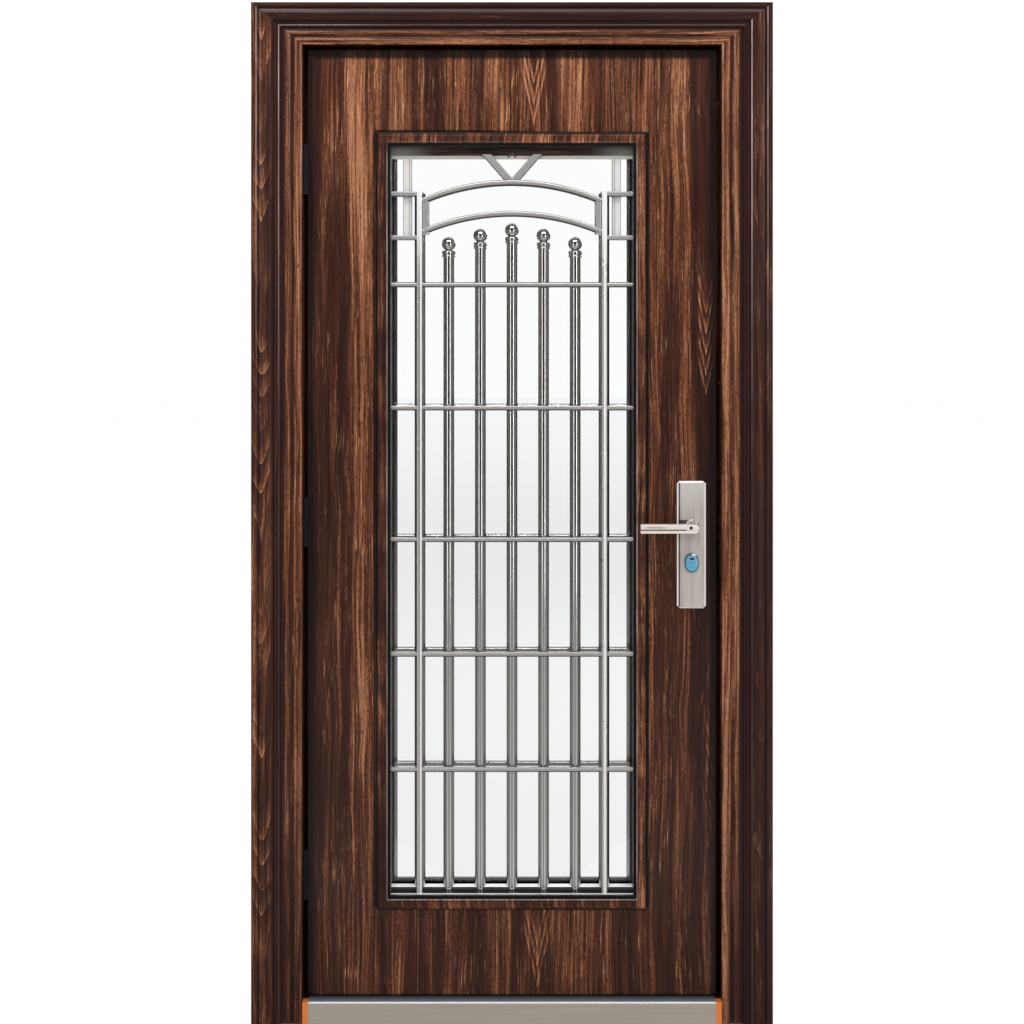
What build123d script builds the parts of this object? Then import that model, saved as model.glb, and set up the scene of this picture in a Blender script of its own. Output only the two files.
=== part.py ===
from build123d import *
import math
import os

# Axes: X to the right seen from outside, Y into the building, Z up. The origin
# is on the floor, at mid width and mid depth of the frame. Sizes in millimetres.

# Frame
frame_width = 1045.0
frame_height = 2050.0
frame_depth = 120.0
jamb_face = 101.5
head_face = 84.0
frame_sheet = 2.0
wall_return = 30.0
wall_lip = 15.0
stop_step = 22.0
back_flange = 62.0
back_lip = 15.0
reveal_radius = 3.0

# Moulded face: width from the outer edge, depth behind the crest, and how far
# the arc that leads to the point bulges to the front, or 0 for a straight run
moulding = [
    (0.0, 4.0, 0.0), (8.0, 4.0, 0.0), (11.4, 4.0, 1.7), (12.2, 7.0, 0.0), (15.0, 7.0, 0.0),
    (16.5, 3.4, 0.0), (29.0, 0.9, 0.8), (32.0, 0.9, 0.9), (43.0, 5.0, 0.8), (52.0, 12.0, -2.0),
    (53.5, 10.0, 0.0), (58.2, 10.0, 0.7), (59.2, 15.0, 0.0), (65.0, 15.0, 0.0), (66.0, 14.0, 0.0),
    (74.6, 14.0, 0.0), (78.4, 14.0, 1.6), (79.2, 16.5, 0.0), (82.8, 16.5, 0.0), (84.0, 14.0, 0.0),
]
band_width = 17.5
band_depth = 14.0

# Anchor holes through the reveals, evenly spaced
anchor_radius = 6.0
anchor_before_stop = 25.0
anchor_low_z = 150.0
anchor_below_top = 200.0
anchor_count = 4

# Threshold
threshold_height = 44.0
threshold_setback = 13.0
threshold_stop_rise = 20.0
threshold_sheet = 1.5
threshold_end_width = 11.5

# Seal on the stop
seal_width = 8.0
seal_thickness = 3.0
seal_inset = 1.0
seal_joint = 0.4

# Leaf
edge_gap = 8.0
bottom_gap = 4.5
leaf_setback = 38.0
leaf_edge_thickness = 47.0
stop_gap = 8.0
leaf_sheet = 1.5
leaf_edge_radius = 2.0
back_body_inset = 21.0
back_body_rise = 25.0

# Window: the leaf's stiles and rails round it, the trims and the lining
stile_width = 162.0
top_rail_height = 189.0
bottom_rail_height = 195.5
trim_width = 22.0
trim_mitre_gap = 0.3
lining_step = 6.0
lining_sheet = 1.5
glass_thickness = 6.0
glass_gap = 0.3

# Trim section: distance from the window, height off the leaf, bulge as above
trim_profile = [
    (0.0, 5.5, 0.0), (1.2, 6.8, 0.0), (3.0, 6.8, 0.3), (4.2, 6.0, 0.0), (14.0, 7.2, 0.4),
    (15.0, 8.0, 0.0), (19.0, 8.0, 0.5), (22.0, 4.0, 0.8), (22.0, 0.0, 0.0),
]

# Grille: heights are taken down from the top of the lining
bar = 12.0
cross_bar = 10.0
bar_depth = 11.0
front_bar_recess = 10.0
upright_inset = 57.5
cross_bar_shares = [0.188, 0.364, 0.539, 0.740, 0.928]
short_bar_drops = [185.0, 96.0]
arch_rise = 37.0
arch_drops = [173.0, 110.0]
vee_half_width = 53.0
vee_drop = 11.0
back_border = 4.5
post_radius = 11.0
post_gap = 0.2
post_bay_short = 5.7
ball_radius = 14.3
ball_drops = [155.0, 166.0, 183.0]
ball_seat = 1.0
collar_radius = 13.8
collar_height = 14.0
collar_edge = 1.5
side_post_drop = 95.0
corner_tube = 18.0
corner_tube_inset = 32.5
corner_tube_drop = 188.0
rail_drop = 2.0
rail_height = 23.0
rail_boss_radius = 9.0
rail_boss_bore = 6.0
rail_boss_depth = 3.0
rail_boss_rise = 3.0
pane_gap = 1.0
back_bar_gap = 0.5

# Concealed hinges, placed from the corner between the reveal and the leaf face
hinge_beyond_reveal = 9.0
hinge_before_leaf = 14.0
hinge_end_margin = 242.0
hinge_height = 110.0
hinge_plate = 4.0
hinge_pin_radius = 4.0
hinge_pin_clearance = 0.3
hinge_knuckle_radius = 7.0
hinge_knuckle_gap = 2.0
hinge_arm_thickness = 6.0
hinge_arm_reach = 18.0
hinge_end_play = 0.5
hinge_leaf_plate = 3.0
hinge_leaf_plate_width = 34.0
hinge_slot_front = 5.5
hinge_slot_back = 23.0
hinge_slot_end = 3.0
hinge_box_front = 5.2
hinge_box_back = 27.0
hinge_wall = 2.0

# Lock plates
backset = 51.0
plate_width = 58.0
plate_height = 256.0
plate_thickness = 9.5
plate_corner = 5.0
plate_bevel = 3.0
plate_centre_z = 959.0

# Levers: the section is depth out from the door side and height off the axis
lever_z = 1000.0
lever_reach = 103.0
lever_overrun = 10.0
lever_standoff = 40.0
lever_neck_radius = 9.5
lever_gap = 0.5
lever_section = [
    (0.0, -7.2), (1.5, -8.7), (6.5, -8.7), (11.0, -3.0), (11.0, 6.8), (9.0, 8.7), (1.5, 8.7), (0.0, 7.2),
]
lever_hub_radius = 6.0
spindle_side = 8.0
spindle_clearance = 1.3

# Cylinder, thumb turn and key cover
cylinder_z = 916.0
cylinder_radius = 8.5
cylinder_gap = 0.4
cylinder_end = 1.5
key_slot_width = 2.4
key_slot_height = 8.0
key_slot_depth = 12.0
turn_disc_radius = 12.5
turn_disc_thickness = 4.0
turn_length = 32.0
turn_width = 9.0
turn_reach = 18.0
turn_round = 3.0
cover_width = 28.0
cover_height = 38.0
cover_z = 923.5
cover_pivot_z = 931.0
cover_thickness = 4.0
cover_edge = 1.2
cover_stand = 2.0
cover_gap = 0.4
cover_pin_radius = 2.0
cover_pin_head = 3.5
cover_pin_head_height = 1.2

# Multi-point lock in the edge: centre height, length and bolts of each plate
face_plate_width = 24.0
face_plate_thickness = 3.0
lock_points = [(450.0, 110.0, 1), (960.0, 250.0, 4), (1500.0, 110.0, 1)]
bolt_radius = 8.0
bolt_pitch = 32.0
bolt_length = 40.0
bolt_play = 0.5
strike_play = 1.5

# Longer than anything that is cut through
through = 400.0

# Places that follow from the sizes above
half_width = frame_width / 2
front_y = -frame_depth / 2
back_y = frame_depth / 2
reveal_x = half_width - jamb_face
soffit_z = frame_height - head_face
head_scale = head_face / jamb_face
leaf_front_y = front_y + leaf_setback
leaf_rim_y = leaf_front_y + leaf_edge_thickness
leaf_back_y = leaf_rim_y + back_body_rise
stop_y = leaf_rim_y + stop_gap
stop_x = reveal_x - stop_step
leaf_x = reveal_x - edge_gap
leaf_bottom = threshold_height + bottom_gap
leaf_top = soffit_z - edge_gap
body_x = leaf_x - back_body_inset
body_bottom = leaf_bottom + back_body_inset
body_top = leaf_top - back_body_inset
edge_mid_y = (leaf_front_y + leaf_rim_y) / 2
window_x = leaf_x - stile_width
window_bottom = leaf_bottom + bottom_rail_height
window_top = leaf_top - top_rail_height
lining_x = window_x - lining_step
lining_bottom = window_bottom + lining_step
lining_top = window_top - lining_step
lining_outer_x = lining_x + lining_sheet
front_bar_y = leaf_front_y + front_bar_recess
rail_y = front_bar_y + bar_depth
post_y = rail_y + post_gap + post_radius
pane_y = post_y + ball_radius + pane_gap
back_bar_y = pane_y + glass_thickness + back_bar_gap
upright_x = lining_x - upright_inset
post_pitch = (upright_x + post_bay_short) / 3
post_x = [post_pitch * k for k in range(-2, 3)]
rail_top_z = lining_top - rail_drop
rail_bottom_z = rail_top_z - rail_height
hinge_x = -reveal_x - hinge_beyond_reveal
hinge_y = leaf_front_y - hinge_before_leaf
hinge_z = [leaf_bottom + hinge_end_margin, (leaf_bottom + leaf_top) / 2, leaf_top - hinge_end_margin]
hinge_arm_half = hinge_height / 2 - hinge_plate - hinge_end_play
lever_x = leaf_x - backset
anchor_pitch = (frame_height - anchor_below_top - anchor_low_z) / (anchor_count - 1)


def block(x0, x1, y0, y1, z0, z1):
    """A box between two corners."""
    middle = ((x0 + x1) / 2, (y0 + y1) / 2, (z0 + z1) / 2)
    return Pos(*middle) * Box(abs(x1 - x0), abs(y1 - y0), abs(z1 - z0))


def rod(x, y, z0, z1, radius):
    """An upright cylinder between two heights."""
    return Pos(x, y, (z0 + z1) / 2) * Cylinder(radius, abs(z1 - z0))


def rod_through(x, z, y0, y1, radius):
    """A cylinder along Y."""
    return Pos(x, (y0 + y1) / 2, z) * Rot(90, 0, 0) * Cylinder(radius, abs(y1 - y0))


def rod_across(y, z, x0, x1, radius):
    """A cylinder along X."""
    return Pos((x0 + x1) / 2, y, z) * Rot(0, 90, 0) * Cylinder(radius, abs(x1 - x0))


def upright_face(points):
    """A face in the XZ plane at Y = 0 from (x, z) points."""
    return make_face(Polyline(*[(x, 0, z) for x, z in points], close=True).edges())


def deepen(face, y0, y1):
    """Thickens a face that stands at Y = 0 from y0 to y1."""
    return Pos(0, y0, 0) * extrude(face, y1 - y0, dir=(0, 1, 0))


def along_x(points, x0, x1):
    """Extrudes a closed (y, z) outline along X."""
    face = make_face(Polyline(*[(0, y, z) for y, z in points], close=True).edges())
    return Pos(x0, 0, 0) * extrude(face, x1 - x0, dir=(1, 0, 0))


def mirrored(shape):
    """The same shape on the other side of the middle plane."""
    return mirror(shape, about=Plane.YZ)


def join(shapes):
    """Fuses a list of shapes into one."""
    whole = shapes[0]
    for other in shapes[1:]:
        whole = whole + other
    return whole


def stretch(start, end, bulge):
    """A straight run, or an arc whose middle stands off the chord by the bulge."""
    if bulge == 0:
        return Line(start, end)
    run_x = end[0] - start[0]
    run_y = end[1] - start[1]
    chord = math.hypot(run_x, run_y)
    middle_x = (start[0] + end[0]) / 2 + run_y / chord * bulge
    middle_y = (start[1] + end[1]) / 2 - run_x / chord * bulge
    return ThreePointArc(start, (middle_x, middle_y), end)


def outline(points, close):
    """Straight runs and arcs through (x, y, bulge) points."""
    edges = [stretch(a[:2], b[:2], b[2]) for a, b in zip(points, points[1:])]
    if close:
        edges.append(stretch(points[-1][:2], points[0][:2], points[0][2]))
    return edges


def frame_section(scale):
    """The rolled sheet of the frame, its widths times the scale."""
    widen = (jamb_face - band_width) / moulding[-1][0]
    inner = jamb_face + stop_step
    stop_depth = stop_y - front_y
    points = [(wall_lip, wall_return, 0), (0.0, wall_return, 0)]
    points += [(u * widen, v, bulge) for u, v, bulge in moulding]
    points += [(jamb_face, band_depth, 0), (jamb_face, stop_depth, 0), (inner, stop_depth, 0)]
    points += [(inner, frame_depth, 0), (back_flange, frame_depth, 0)]
    points += [(back_flange, frame_depth - back_lip, 0)]
    path = Wire(outline([(u * scale, v, bulge) for u, v, bulge in points], False))
    corner = path.vertices().sort_by_distance((jamb_face * scale, band_depth, 0))[:1]
    path = path.fillet_2d(reveal_radius, corner)
    return make_face(offset(path, amount=frame_sheet, side=Side.LEFT, closed=True).edges())


def mitre_z(x):
    """Height of the mitre line at a distance from the middle."""
    return frame_height - (half_width - x) * head_scale


def mitre_block(below):
    """The space under or over the mitre line of the right corner."""
    far_x = half_width + through
    limit = -through if below else frame_height + through
    points = [(0.0, mitre_z(0.0)), (far_x, mitre_z(far_x)), (far_x, limit), (0.0, limit)]
    return deepen(upright_face(points), front_y - through, back_y + through)


def right_jamb():
    """The right jamb with its mitre and anchor holes."""
    section = Pos(half_width, front_y, 0) * mirrored(frame_section(1.0))
    jamb = extrude(section, frame_height, dir=(0, 0, 1)) & mitre_block(True)
    for k in range(anchor_count):
        z = anchor_low_z + anchor_pitch * k
        middle_y = stop_y - anchor_before_stop
        jamb = jamb - rod_across(middle_y, z, stop_x, reveal_x + 2 * frame_sheet, anchor_radius)
    return jamb


def frame_head():
    """The head between its two mitres."""
    side = Plane((-half_width, front_y, frame_height), x_dir=(0, 0, -1), z_dir=(1, 0, 0))
    rail = extrude(side * frame_section(head_scale), frame_width, dir=side.z_dir)
    over = mitre_block(False)
    return rail & (over + mirrored(over))


def lock_point_block(point, x0, x1):
    """The space of one face plate or strike plate between two values of X."""
    z, length, count = point
    half = face_plate_width / 2
    return block(x0, x1, edge_mid_y - half, edge_mid_y + half, z - length / 2, z + length / 2)


def bolt_heights(point):
    """Heights of the bolts behind one face plate."""
    z, length, count = point
    return [z + bolt_pitch * (k - (count - 1) / 2) for k in range(count)]


def point_bolts(point, x0, x1, radius):
    """The bolts of one lock point as cylinders between two values of X."""
    return [rod_across(edge_mid_y, z, x0, x1, radius) for z in bolt_heights(point)]


def strike_plates():
    """Strike plates let into the reveal, holed for the bolts."""
    far_x = reveal_x + frame_sheet
    plates = []
    for point in lock_points:
        holes = point_bolts(point, reveal_x - 1, far_x + 1, bolt_radius + strike_play)
        plates.append(lock_point_block(point, reveal_x, far_x) - join(holes))
    return plates


def face_plates():
    """Face plates let into the leaf edge, holed for the bolts."""
    near_x = leaf_x - face_plate_thickness
    plates = []
    for point in lock_points:
        holes = point_bolts(point, near_x - 1, leaf_x + 1, bolt_radius + bolt_play)
        plates.append(lock_point_block(point, near_x, leaf_x) - join(holes))
    return plates


def lock_bolts(extra):
    """All withdrawn bolts, flush with the leaf edge, grown by the extra."""
    bolts = []
    for point in lock_points:
        bolts += point_bolts(point, leaf_x - bolt_length - extra, leaf_x, bolt_radius + extra)
    return bolts


def hinge_slot(z):
    """The slot in the reveal that the hinge arm swings through."""
    half = hinge_height / 2 - hinge_slot_end
    front = hinge_y - hinge_slot_front
    back = hinge_y + hinge_slot_back
    return block(-reveal_x - 2 * frame_sheet, 1 - reveal_x, front, back, z - half, z + half)


def hinge_box(z):
    """The fixed half: two plates, a back wall and the pin."""
    inner = -reveal_x - frame_sheet
    outer = hinge_x - hinge_knuckle_radius - hinge_knuckle_gap
    front = hinge_y - hinge_box_front
    back = hinge_y + hinge_box_back
    low = z - hinge_height / 2
    high = z + hinge_height / 2
    lower = block(outer, inner, front, back, low, low + hinge_plate)
    upper = block(outer, inner, front, back, high - hinge_plate, high)
    wall = block(outer - hinge_wall, outer, hinge_y - hinge_wall, back, low, high)
    pin = rod(hinge_x, hinge_y, low, high, hinge_pin_radius)
    return join([lower, upper, wall, pin])


def hinge_leaf_pocket(z):
    """The plate let into the hinge side edge of the leaf."""
    near = hinge_y + hinge_arm_reach - hinge_arm_thickness / 2
    far = near + hinge_leaf_plate_width
    return block(-leaf_x, hinge_leaf_plate - leaf_x, near, far, z - hinge_arm_half, z + hinge_arm_half)


def hinge_arm(z):
    """The cranked arm, its knuckle and its plate on the leaf."""
    t = hinge_arm_thickness / 2
    low = z - hinge_arm_half
    high = z + hinge_arm_half
    reach_y = hinge_y + hinge_arm_reach
    inner = block(hinge_x - t, hinge_x + t, hinge_y, reach_y + t, low, high)
    outer = block(hinge_x - t, -leaf_x, reach_y - t, reach_y + t, low, high)
    knuckle = rod(hinge_x, hinge_y, low, high, hinge_knuckle_radius)
    bore = rod(hinge_x, hinge_y, low - 1, high + 1, hinge_pin_radius + hinge_pin_clearance)
    return join([inner, outer, knuckle, hinge_leaf_pocket(z)]) - bore


def threshold_section(inset):
    """Outline of the threshold as (y, z) points, drawn in by the inset."""
    front = front_y + threshold_setback + inset
    rise = stop_y + inset
    back = back_y - inset
    low = threshold_height - inset
    high = threshold_height + threshold_stop_rise - inset
    return [(front, 0.0), (front, low), (rise, low), (rise, high), (back, high), (back, 0.0)]


def threshold():
    """The sheet cover, the filled core and the right end block."""
    end_x = reveal_x - threshold_end_width
    high = threshold_height + threshold_stop_rise + 1
    corner = block(stop_x, half_width, stop_y, back_y + 1, -1, high)
    corners = corner + mirrored(corner)
    core = along_x(threshold_section(threshold_sheet), -end_x, end_x) - corners
    cover = along_x(threshold_section(0.0), -end_x, end_x) - corners - core
    end = along_x(threshold_section(0.0), end_x, reveal_x) - corners
    return cover, core, end


def frame_seal():
    """Four strips of seal on the stop, a small joint apart."""
    near = stop_y - seal_thickness
    inner_x = stop_x + seal_inset
    cut_x = inner_x - seal_joint
    top = soffit_z - stop_step * head_scale + seal_inset
    bottom = threshold_height + threshold_stop_rise - seal_inset
    side = block(inner_x, inner_x + seal_width, near, stop_y, bottom - seal_width, top + seal_width)
    upper = block(-cut_x, cut_x, near, stop_y, top, top + seal_width)
    lower = block(-cut_x, cut_x, near, stop_y, bottom - seal_width, bottom)
    return [side, mirrored(side), upper, lower]


def window_hole():
    """The hole through the leaf for the lining."""
    x = lining_outer_x
    low = lining_bottom - lining_sheet
    return block(-x, x, -through, through, low, lining_top + lining_sheet)


def lock_bores():
    """Bores through the leaf for the spindle and the cylinder."""
    spindle_radius = spindle_side / math.sqrt(2) + spindle_clearance
    spindle = rod_through(lever_x, lever_z, -through, through, spindle_radius)
    cylinder = rod_through(lever_x, cylinder_z, -through, through, cylinder_radius + cylinder_gap)
    return spindle + cylinder


def edge_pockets():
    """All that is let into the leaf edges."""
    pockets = [hinge_leaf_pocket(z) for z in hinge_z]
    for point in lock_points:
        pockets.append(lock_point_block(point, leaf_x - face_plate_thickness, leaf_x))
    return join(pockets)


def leaf_front_skin():
    """The face sheet with its four returned edges."""
    s = leaf_sheet
    outer = block(-leaf_x, leaf_x, leaf_front_y, leaf_rim_y - s, leaf_bottom, leaf_top)
    outer = fillet(outer.faces().sort_by(Axis.Y)[0].edges(), leaf_edge_radius)
    inner = block(s - leaf_x, leaf_x - s, leaf_front_y + s, through, leaf_bottom + s, leaf_top - s)
    return outer - inner - window_hole() - lock_bores() - edge_pockets()


def leaf_back_skin():
    """The back sheet: a rim and a raised body."""
    s = leaf_sheet
    rim = block(-leaf_x, leaf_x, leaf_rim_y - s, leaf_rim_y, leaf_bottom, leaf_top)
    body = block(-body_x, body_x, leaf_rim_y - s, leaf_back_y, body_bottom, body_top)
    body = fillet(body.faces().sort_by(Axis.Y)[-1].edges(), leaf_edge_radius)
    inner = block(s - body_x, body_x - s, -through, leaf_back_y - s, body_bottom + s, body_top - s)
    return (rim + body) - inner - window_hole() - lock_bores()


def leaf_core():
    """The filling, in four blocks round the window."""
    s = leaf_sheet
    near = leaf_front_y + s
    wide = block(s - leaf_x, leaf_x - s, near, leaf_rim_y - s, leaf_bottom + s, leaf_top - s)
    deep = block(s - body_x, body_x - s, near, leaf_back_y - s, body_bottom + s, body_top - s)
    whole = (wide + deep) - edge_pockets() - lock_bores() - join(lock_bolts(bolt_play))
    x = lining_outer_x
    low = lining_bottom - lining_sheet
    high = lining_top + lining_sheet
    left = whole & block(-leaf_x, -x, -through, through, 0, frame_height)
    right = whole & block(x, leaf_x, -through, through, 0, frame_height)
    top = whole & block(-x, x, -through, through, high, frame_height)
    bottom = whole & block(-x, x, -through, through, 0, low)
    return {"left": left, "right": right, "top": top, "bottom": bottom}


def trim_strip(length):
    """A mitred strip: its inner edge on the X axis, its width along +Y, its rise +Z."""
    half = length / 2
    gap = trim_mitre_gap / 2
    across = Plane((-half - trim_width, 0, 0), x_dir=(0, 1, 0), z_dir=(1, 0, 0))
    section = make_face(outline([(0.0, 0.0, 0.0)] + trim_profile, True))
    strip = extrude(across * section, length + 2 * trim_width, dir=(1, 0, 0))
    limit = Polyline(
        (gap - half, 0), (half - gap, 0), (half + trim_width - gap, trim_width),
        (gap - half - trim_width, trim_width), close=True)
    prism = extrude(make_face(limit.edges()), trim_width, dir=(0, 0, 1))
    return strip & prism


def window_trim(face_y, direction):
    """Four mitred strips round the window on one face of the leaf."""
    middle_z = (window_bottom + window_top) / 2
    tall = window_top - window_bottom
    wide = 2 * window_x
    strips = []
    for turn, length, reach in [(0, wide, tall), (90, tall, wide), (180, wide, tall), (270, tall, wide)]:
        strip = Rot(0, 0, turn) * Pos(0, reach / 2, 0) * trim_strip(length)
        on_face = Plane((0, face_y, middle_z), x_dir=(-direction, 0, 0), z_dir=(0, direction, 0))
        strips.append(on_face * strip)
    return strips


def window_lining():
    """The polished box in the window, with a flange on each face."""
    s = lining_sheet
    front = leaf_front_y - s
    back = leaf_back_y + s
    x = lining_outer_x
    tube = block(-x, x, front, back, lining_bottom - s, lining_top + s)
    near = block(-window_x, window_x, front, leaf_front_y, window_bottom, window_top)
    far = block(-window_x, window_x, leaf_back_y, back, window_bottom, window_top)
    return tube + near + far - block(-lining_x, lining_x, -through, through, lining_bottom, lining_top)


def glass_pane():
    """The pane, a small gap inside the lining."""
    x = lining_x - glass_gap
    low = lining_bottom + glass_gap
    return block(-x, x, pane_y, pane_y + glass_thickness, low, lining_top - glass_gap)


def ball_top(index):
    """Top of the ball on a post, counted from the left."""
    return lining_top - ball_drops[abs(index - 2)]


def collar_bottom(index):
    """Height where the post ends and its collar begins."""
    return ball_top(index) - 2 * ball_radius + ball_seat - collar_height


def grille_posts():
    """The five round posts, from the sill up to their collars."""
    return [rod(x, post_y, lining_bottom, collar_bottom(k), post_radius) for k, x in enumerate(post_x)]


def finial(index):
    """A collar and a ball, turned as one piece."""
    low = collar_bottom(index)
    top = ball_top(index)
    seat_z = low + collar_height
    middle = top - ball_radius
    seat_x = math.sqrt(ball_radius ** 2 - (middle - seat_z) ** 2)
    edge = collar_radius - collar_edge
    steps = [(0, 0, low), (edge, 0, low), (collar_radius, 0, low + collar_edge)]
    steps += [(collar_radius, 0, seat_z - collar_edge), (edge, 0, seat_z), (seat_x, 0, seat_z)]
    ball = ThreePointArc((seat_x, 0, seat_z), (ball_radius, 0, middle), (0, 0, top))
    profile = make_face(Polyline(*steps).edges() + [ball, Line((0, 0, top), (0, 0, low))])
    return Pos(post_x[index], post_y, 0) * revolve(profile, Axis.Z)


def side_posts():
    """The two posts behind the uprights."""
    top = lining_top - side_post_drop
    return [rod(x, post_y, lining_bottom, top, post_radius) for x in (-upright_x, upright_x)]


def corner_tubes():
    """The square tubes under the ends of the rail."""
    half = corner_tube / 2
    middle = lining_x - corner_tube_inset
    low = lining_top - corner_tube_drop
    tube = block(middle - half, middle + half, post_y - half, post_y + half, low, rail_bottom_z)
    return [tube, mirrored(tube)]


def top_rail():
    """The rail under the top of the lining, with a small half ring in front."""
    rail = block(-lining_x, lining_x, rail_y, rail_y + 2 * post_radius, rail_bottom_z, rail_top_z)
    z = rail_bottom_z + rail_boss_rise
    ring = rod_through(0, z, rail_y - rail_boss_depth, rail_y, rail_boss_radius)
    ring = ring - rod_through(0, z, -through, through, rail_boss_bore)
    return rail + (ring & block(-lining_x, lining_x, -through, through, z, rail_top_z))


def lattice_bars(y0):
    """Uprights, crossbars and short bars in one plane, fused where they cross."""
    y1 = y0 + bar_depth
    half = cross_bar / 2
    short_low, short_high = [lining_top - drop for drop in short_bar_drops]
    upright = block(upright_x - bar / 2, upright_x + bar / 2, y0, y1, lining_bottom, short_high + half)
    bars = [upright, mirrored(upright)]
    for share in cross_bar_shares:
        z = lining_bottom + share * (short_low - lining_bottom)
        bars.append(block(-lining_x, lining_x, y0, y1, z - half, z + half))
    for z in (short_low, short_high):
        short = block(upright_x, lining_x, y0, y1, z - half, z + half)
        bars += [short, mirrored(short)]
    return join(bars)


def border(y0):
    """The outer frame of the back lattice."""
    x = lining_x - back_border
    low = lining_bottom + back_border
    high = lining_top - back_border
    b = bar_depth
    outer = block(-x, x, y0, y0 + b, low, high)
    return outer - block(b - x, x - b, y0 - 1, y0 + b + 1, low + b, high - b)


def arch_outline(inset):
    """The crescent between the uprights, drawn in by the inset."""
    x = upright_x - bar / 2 - inset
    grow = bar / 2 - inset
    low = lining_top - arch_drops[0] - grow
    high = lining_top - arch_drops[1] + grow
    upper = ThreePointArc((-x, 0, high), (0, 0, high + arch_rise), (x, 0, high))
    lower = ThreePointArc((x, 0, low), (0, 0, low + arch_rise), (-x, 0, low))
    return make_face([upper, Line((x, 0, high), (x, 0, low)), lower, Line((-x, 0, low), (-x, 0, high))])


def arches(y0):
    """Two arcs and two short ends as one closed bar."""
    inner = deepen(arch_outline(bar), y0 - 1, y0 + bar_depth + 1)
    return deepen(arch_outline(0.0), y0, y0 + bar_depth) - inner


def vee(y0):
    """Two legs that rise from the top of the arch."""
    apex = lining_top - arch_drops[1] + bar / 2 + arch_rise
    top = lining_top - vee_drop
    rise = top - apex
    length = math.hypot(vee_half_width, rise)
    shift = bar * length / rise
    lift = bar * length / vee_half_width
    points = [(0, apex), (vee_half_width, top), (vee_half_width - shift, top), (0, apex + lift)]
    leg = deepen(upright_face(points), y0, y0 + bar_depth)
    return leg + mirrored(leg)


def lock_plate(face_y, direction):
    """A long plate with clipped corners and a bevelled edge."""
    w = plate_width / 2
    h = plate_height / 2
    c = plate_corner
    corners = [(w - c, h), (w, h - c), (w, c - h), (w - c, -h), (c - w, -h), (-w, c - h), (-w, h - c), (c - w, h)]
    face = upright_face([(lever_x + x, plate_centre_z + z) for x, z in corners])
    far_y = face_y + direction * plate_thickness
    plate = deepen(face, min(face_y, far_y), max(face_y, far_y))
    outer_face = plate.faces().sort_by(Axis.Y)[0 if direction < 0 else -1]
    return chamfer(outer_face.edges(), plate_bevel) - lock_bores()


def spindle():
    """The square spindle that carries both levers."""
    half = spindle_side / 2
    front = leaf_front_y - plate_thickness - lever_standoff
    back = leaf_back_y + plate_thickness + lever_standoff
    return block(lever_x - half, lever_x + half, front, back, lever_z - half, lever_z + half)


def lever(face_y, direction):
    """A faceted grip on a round neck, bored for the spindle."""
    near = face_y + direction * (plate_thickness + lever_gap)
    root = near + direction * lever_standoff
    points = [(root + direction * d, lever_z + z) for d, z in lever_section]
    grip = along_x(points, lever_x - lever_reach, lever_x + lever_overrun)
    hub = grip.edges().filter_by(Axis.Y).sort_by(Axis.X)[-2:]
    grip = fillet(hub, lever_hub_radius)
    neck = rod_through(lever_x, lever_z, near, root, lever_neck_radius)
    return (grip + neck) - spindle()


def lock_cylinder():
    """The cylinder with its key slot."""
    front = leaf_front_y - plate_thickness
    back = leaf_back_y + plate_thickness + cylinder_end
    body = rod_through(lever_x, cylinder_z, front, back, cylinder_radius)
    w = key_slot_width / 2
    h = key_slot_height / 2
    slot = block(lever_x - w, lever_x + w, front - 1, front + key_slot_depth, cylinder_z - h, cylinder_z + h)
    return body - slot


def thumb_turn():
    """The turn on the inside end of the cylinder."""
    near = leaf_back_y + plate_thickness + cylinder_end
    step = near + turn_disc_thickness
    disc = rod_through(lever_x, cylinder_z, near, step, turn_disc_radius)
    w = turn_width / 2
    h = turn_length / 2
    wing = block(lever_x - w, lever_x + w, step, near + turn_reach, cylinder_z - h, cylinder_z + h)
    return disc + fillet(wing.edges().filter_by(Axis.Y), turn_round)


def key_cover():
    """The swinging cover, a pill with a softened edge."""
    near = leaf_front_y - plate_thickness - cover_stand
    far = near - cover_thickness
    r = cover_width / 2
    low = cover_z - cover_height / 2 + r
    high = cover_z + cover_height / 2 - r
    body = block(lever_x - r, lever_x + r, far, near, low, high)
    body = body + rod_through(lever_x, low, far, near, r) + rod_through(lever_x, high, far, near, r)
    body = chamfer(body.faces().sort_by(Axis.Y)[0].edges(), cover_edge)
    return body - rod_through(lever_x, cover_pivot_z, -through, through, cover_pin_radius + cover_gap)


def cover_pin():
    """The pin that the key cover turns on, with a shoulder and a head."""
    plate = leaf_front_y - plate_thickness
    near = plate - cover_stand + cover_gap
    far = plate - cover_stand - cover_thickness - cover_gap
    shoulder = rod_through(lever_x, cover_pivot_z, near, plate, cover_pin_head)
    shaft = rod_through(lever_x, cover_pivot_z, far, near, cover_pin_radius)
    head = rod_through(lever_x, cover_pivot_z, far - cover_pin_head_height, far, cover_pin_head)
    return join([shoulder, shaft, head])


def save(name, shape):
    """Writes one node, from one solid or a list of separate ones."""
    if isinstance(shape, list):
        shape = Compound(children=shape)
    export_step(shape, "parts/" + name + ".step")


def save_frame():
    """Writes the pieces of the frame."""
    jamb = right_jamb()
    save("jamb_left", mirrored(jamb) - join([hinge_slot(z) for z in hinge_z]))
    recesses = [lock_point_block(point, reveal_x, reveal_x + frame_sheet) for point in lock_points]
    save("jamb_right", jamb - join(recesses))
    save("frame_head", frame_head())
    save("strike_plates", strike_plates())
    cover, core, end = threshold()
    save("threshold_cover", cover)
    save("threshold_core", core)
    save("threshold_end_right", end)
    save("threshold_end_left", mirrored(end))
    save("frame_seal", frame_seal())


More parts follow.
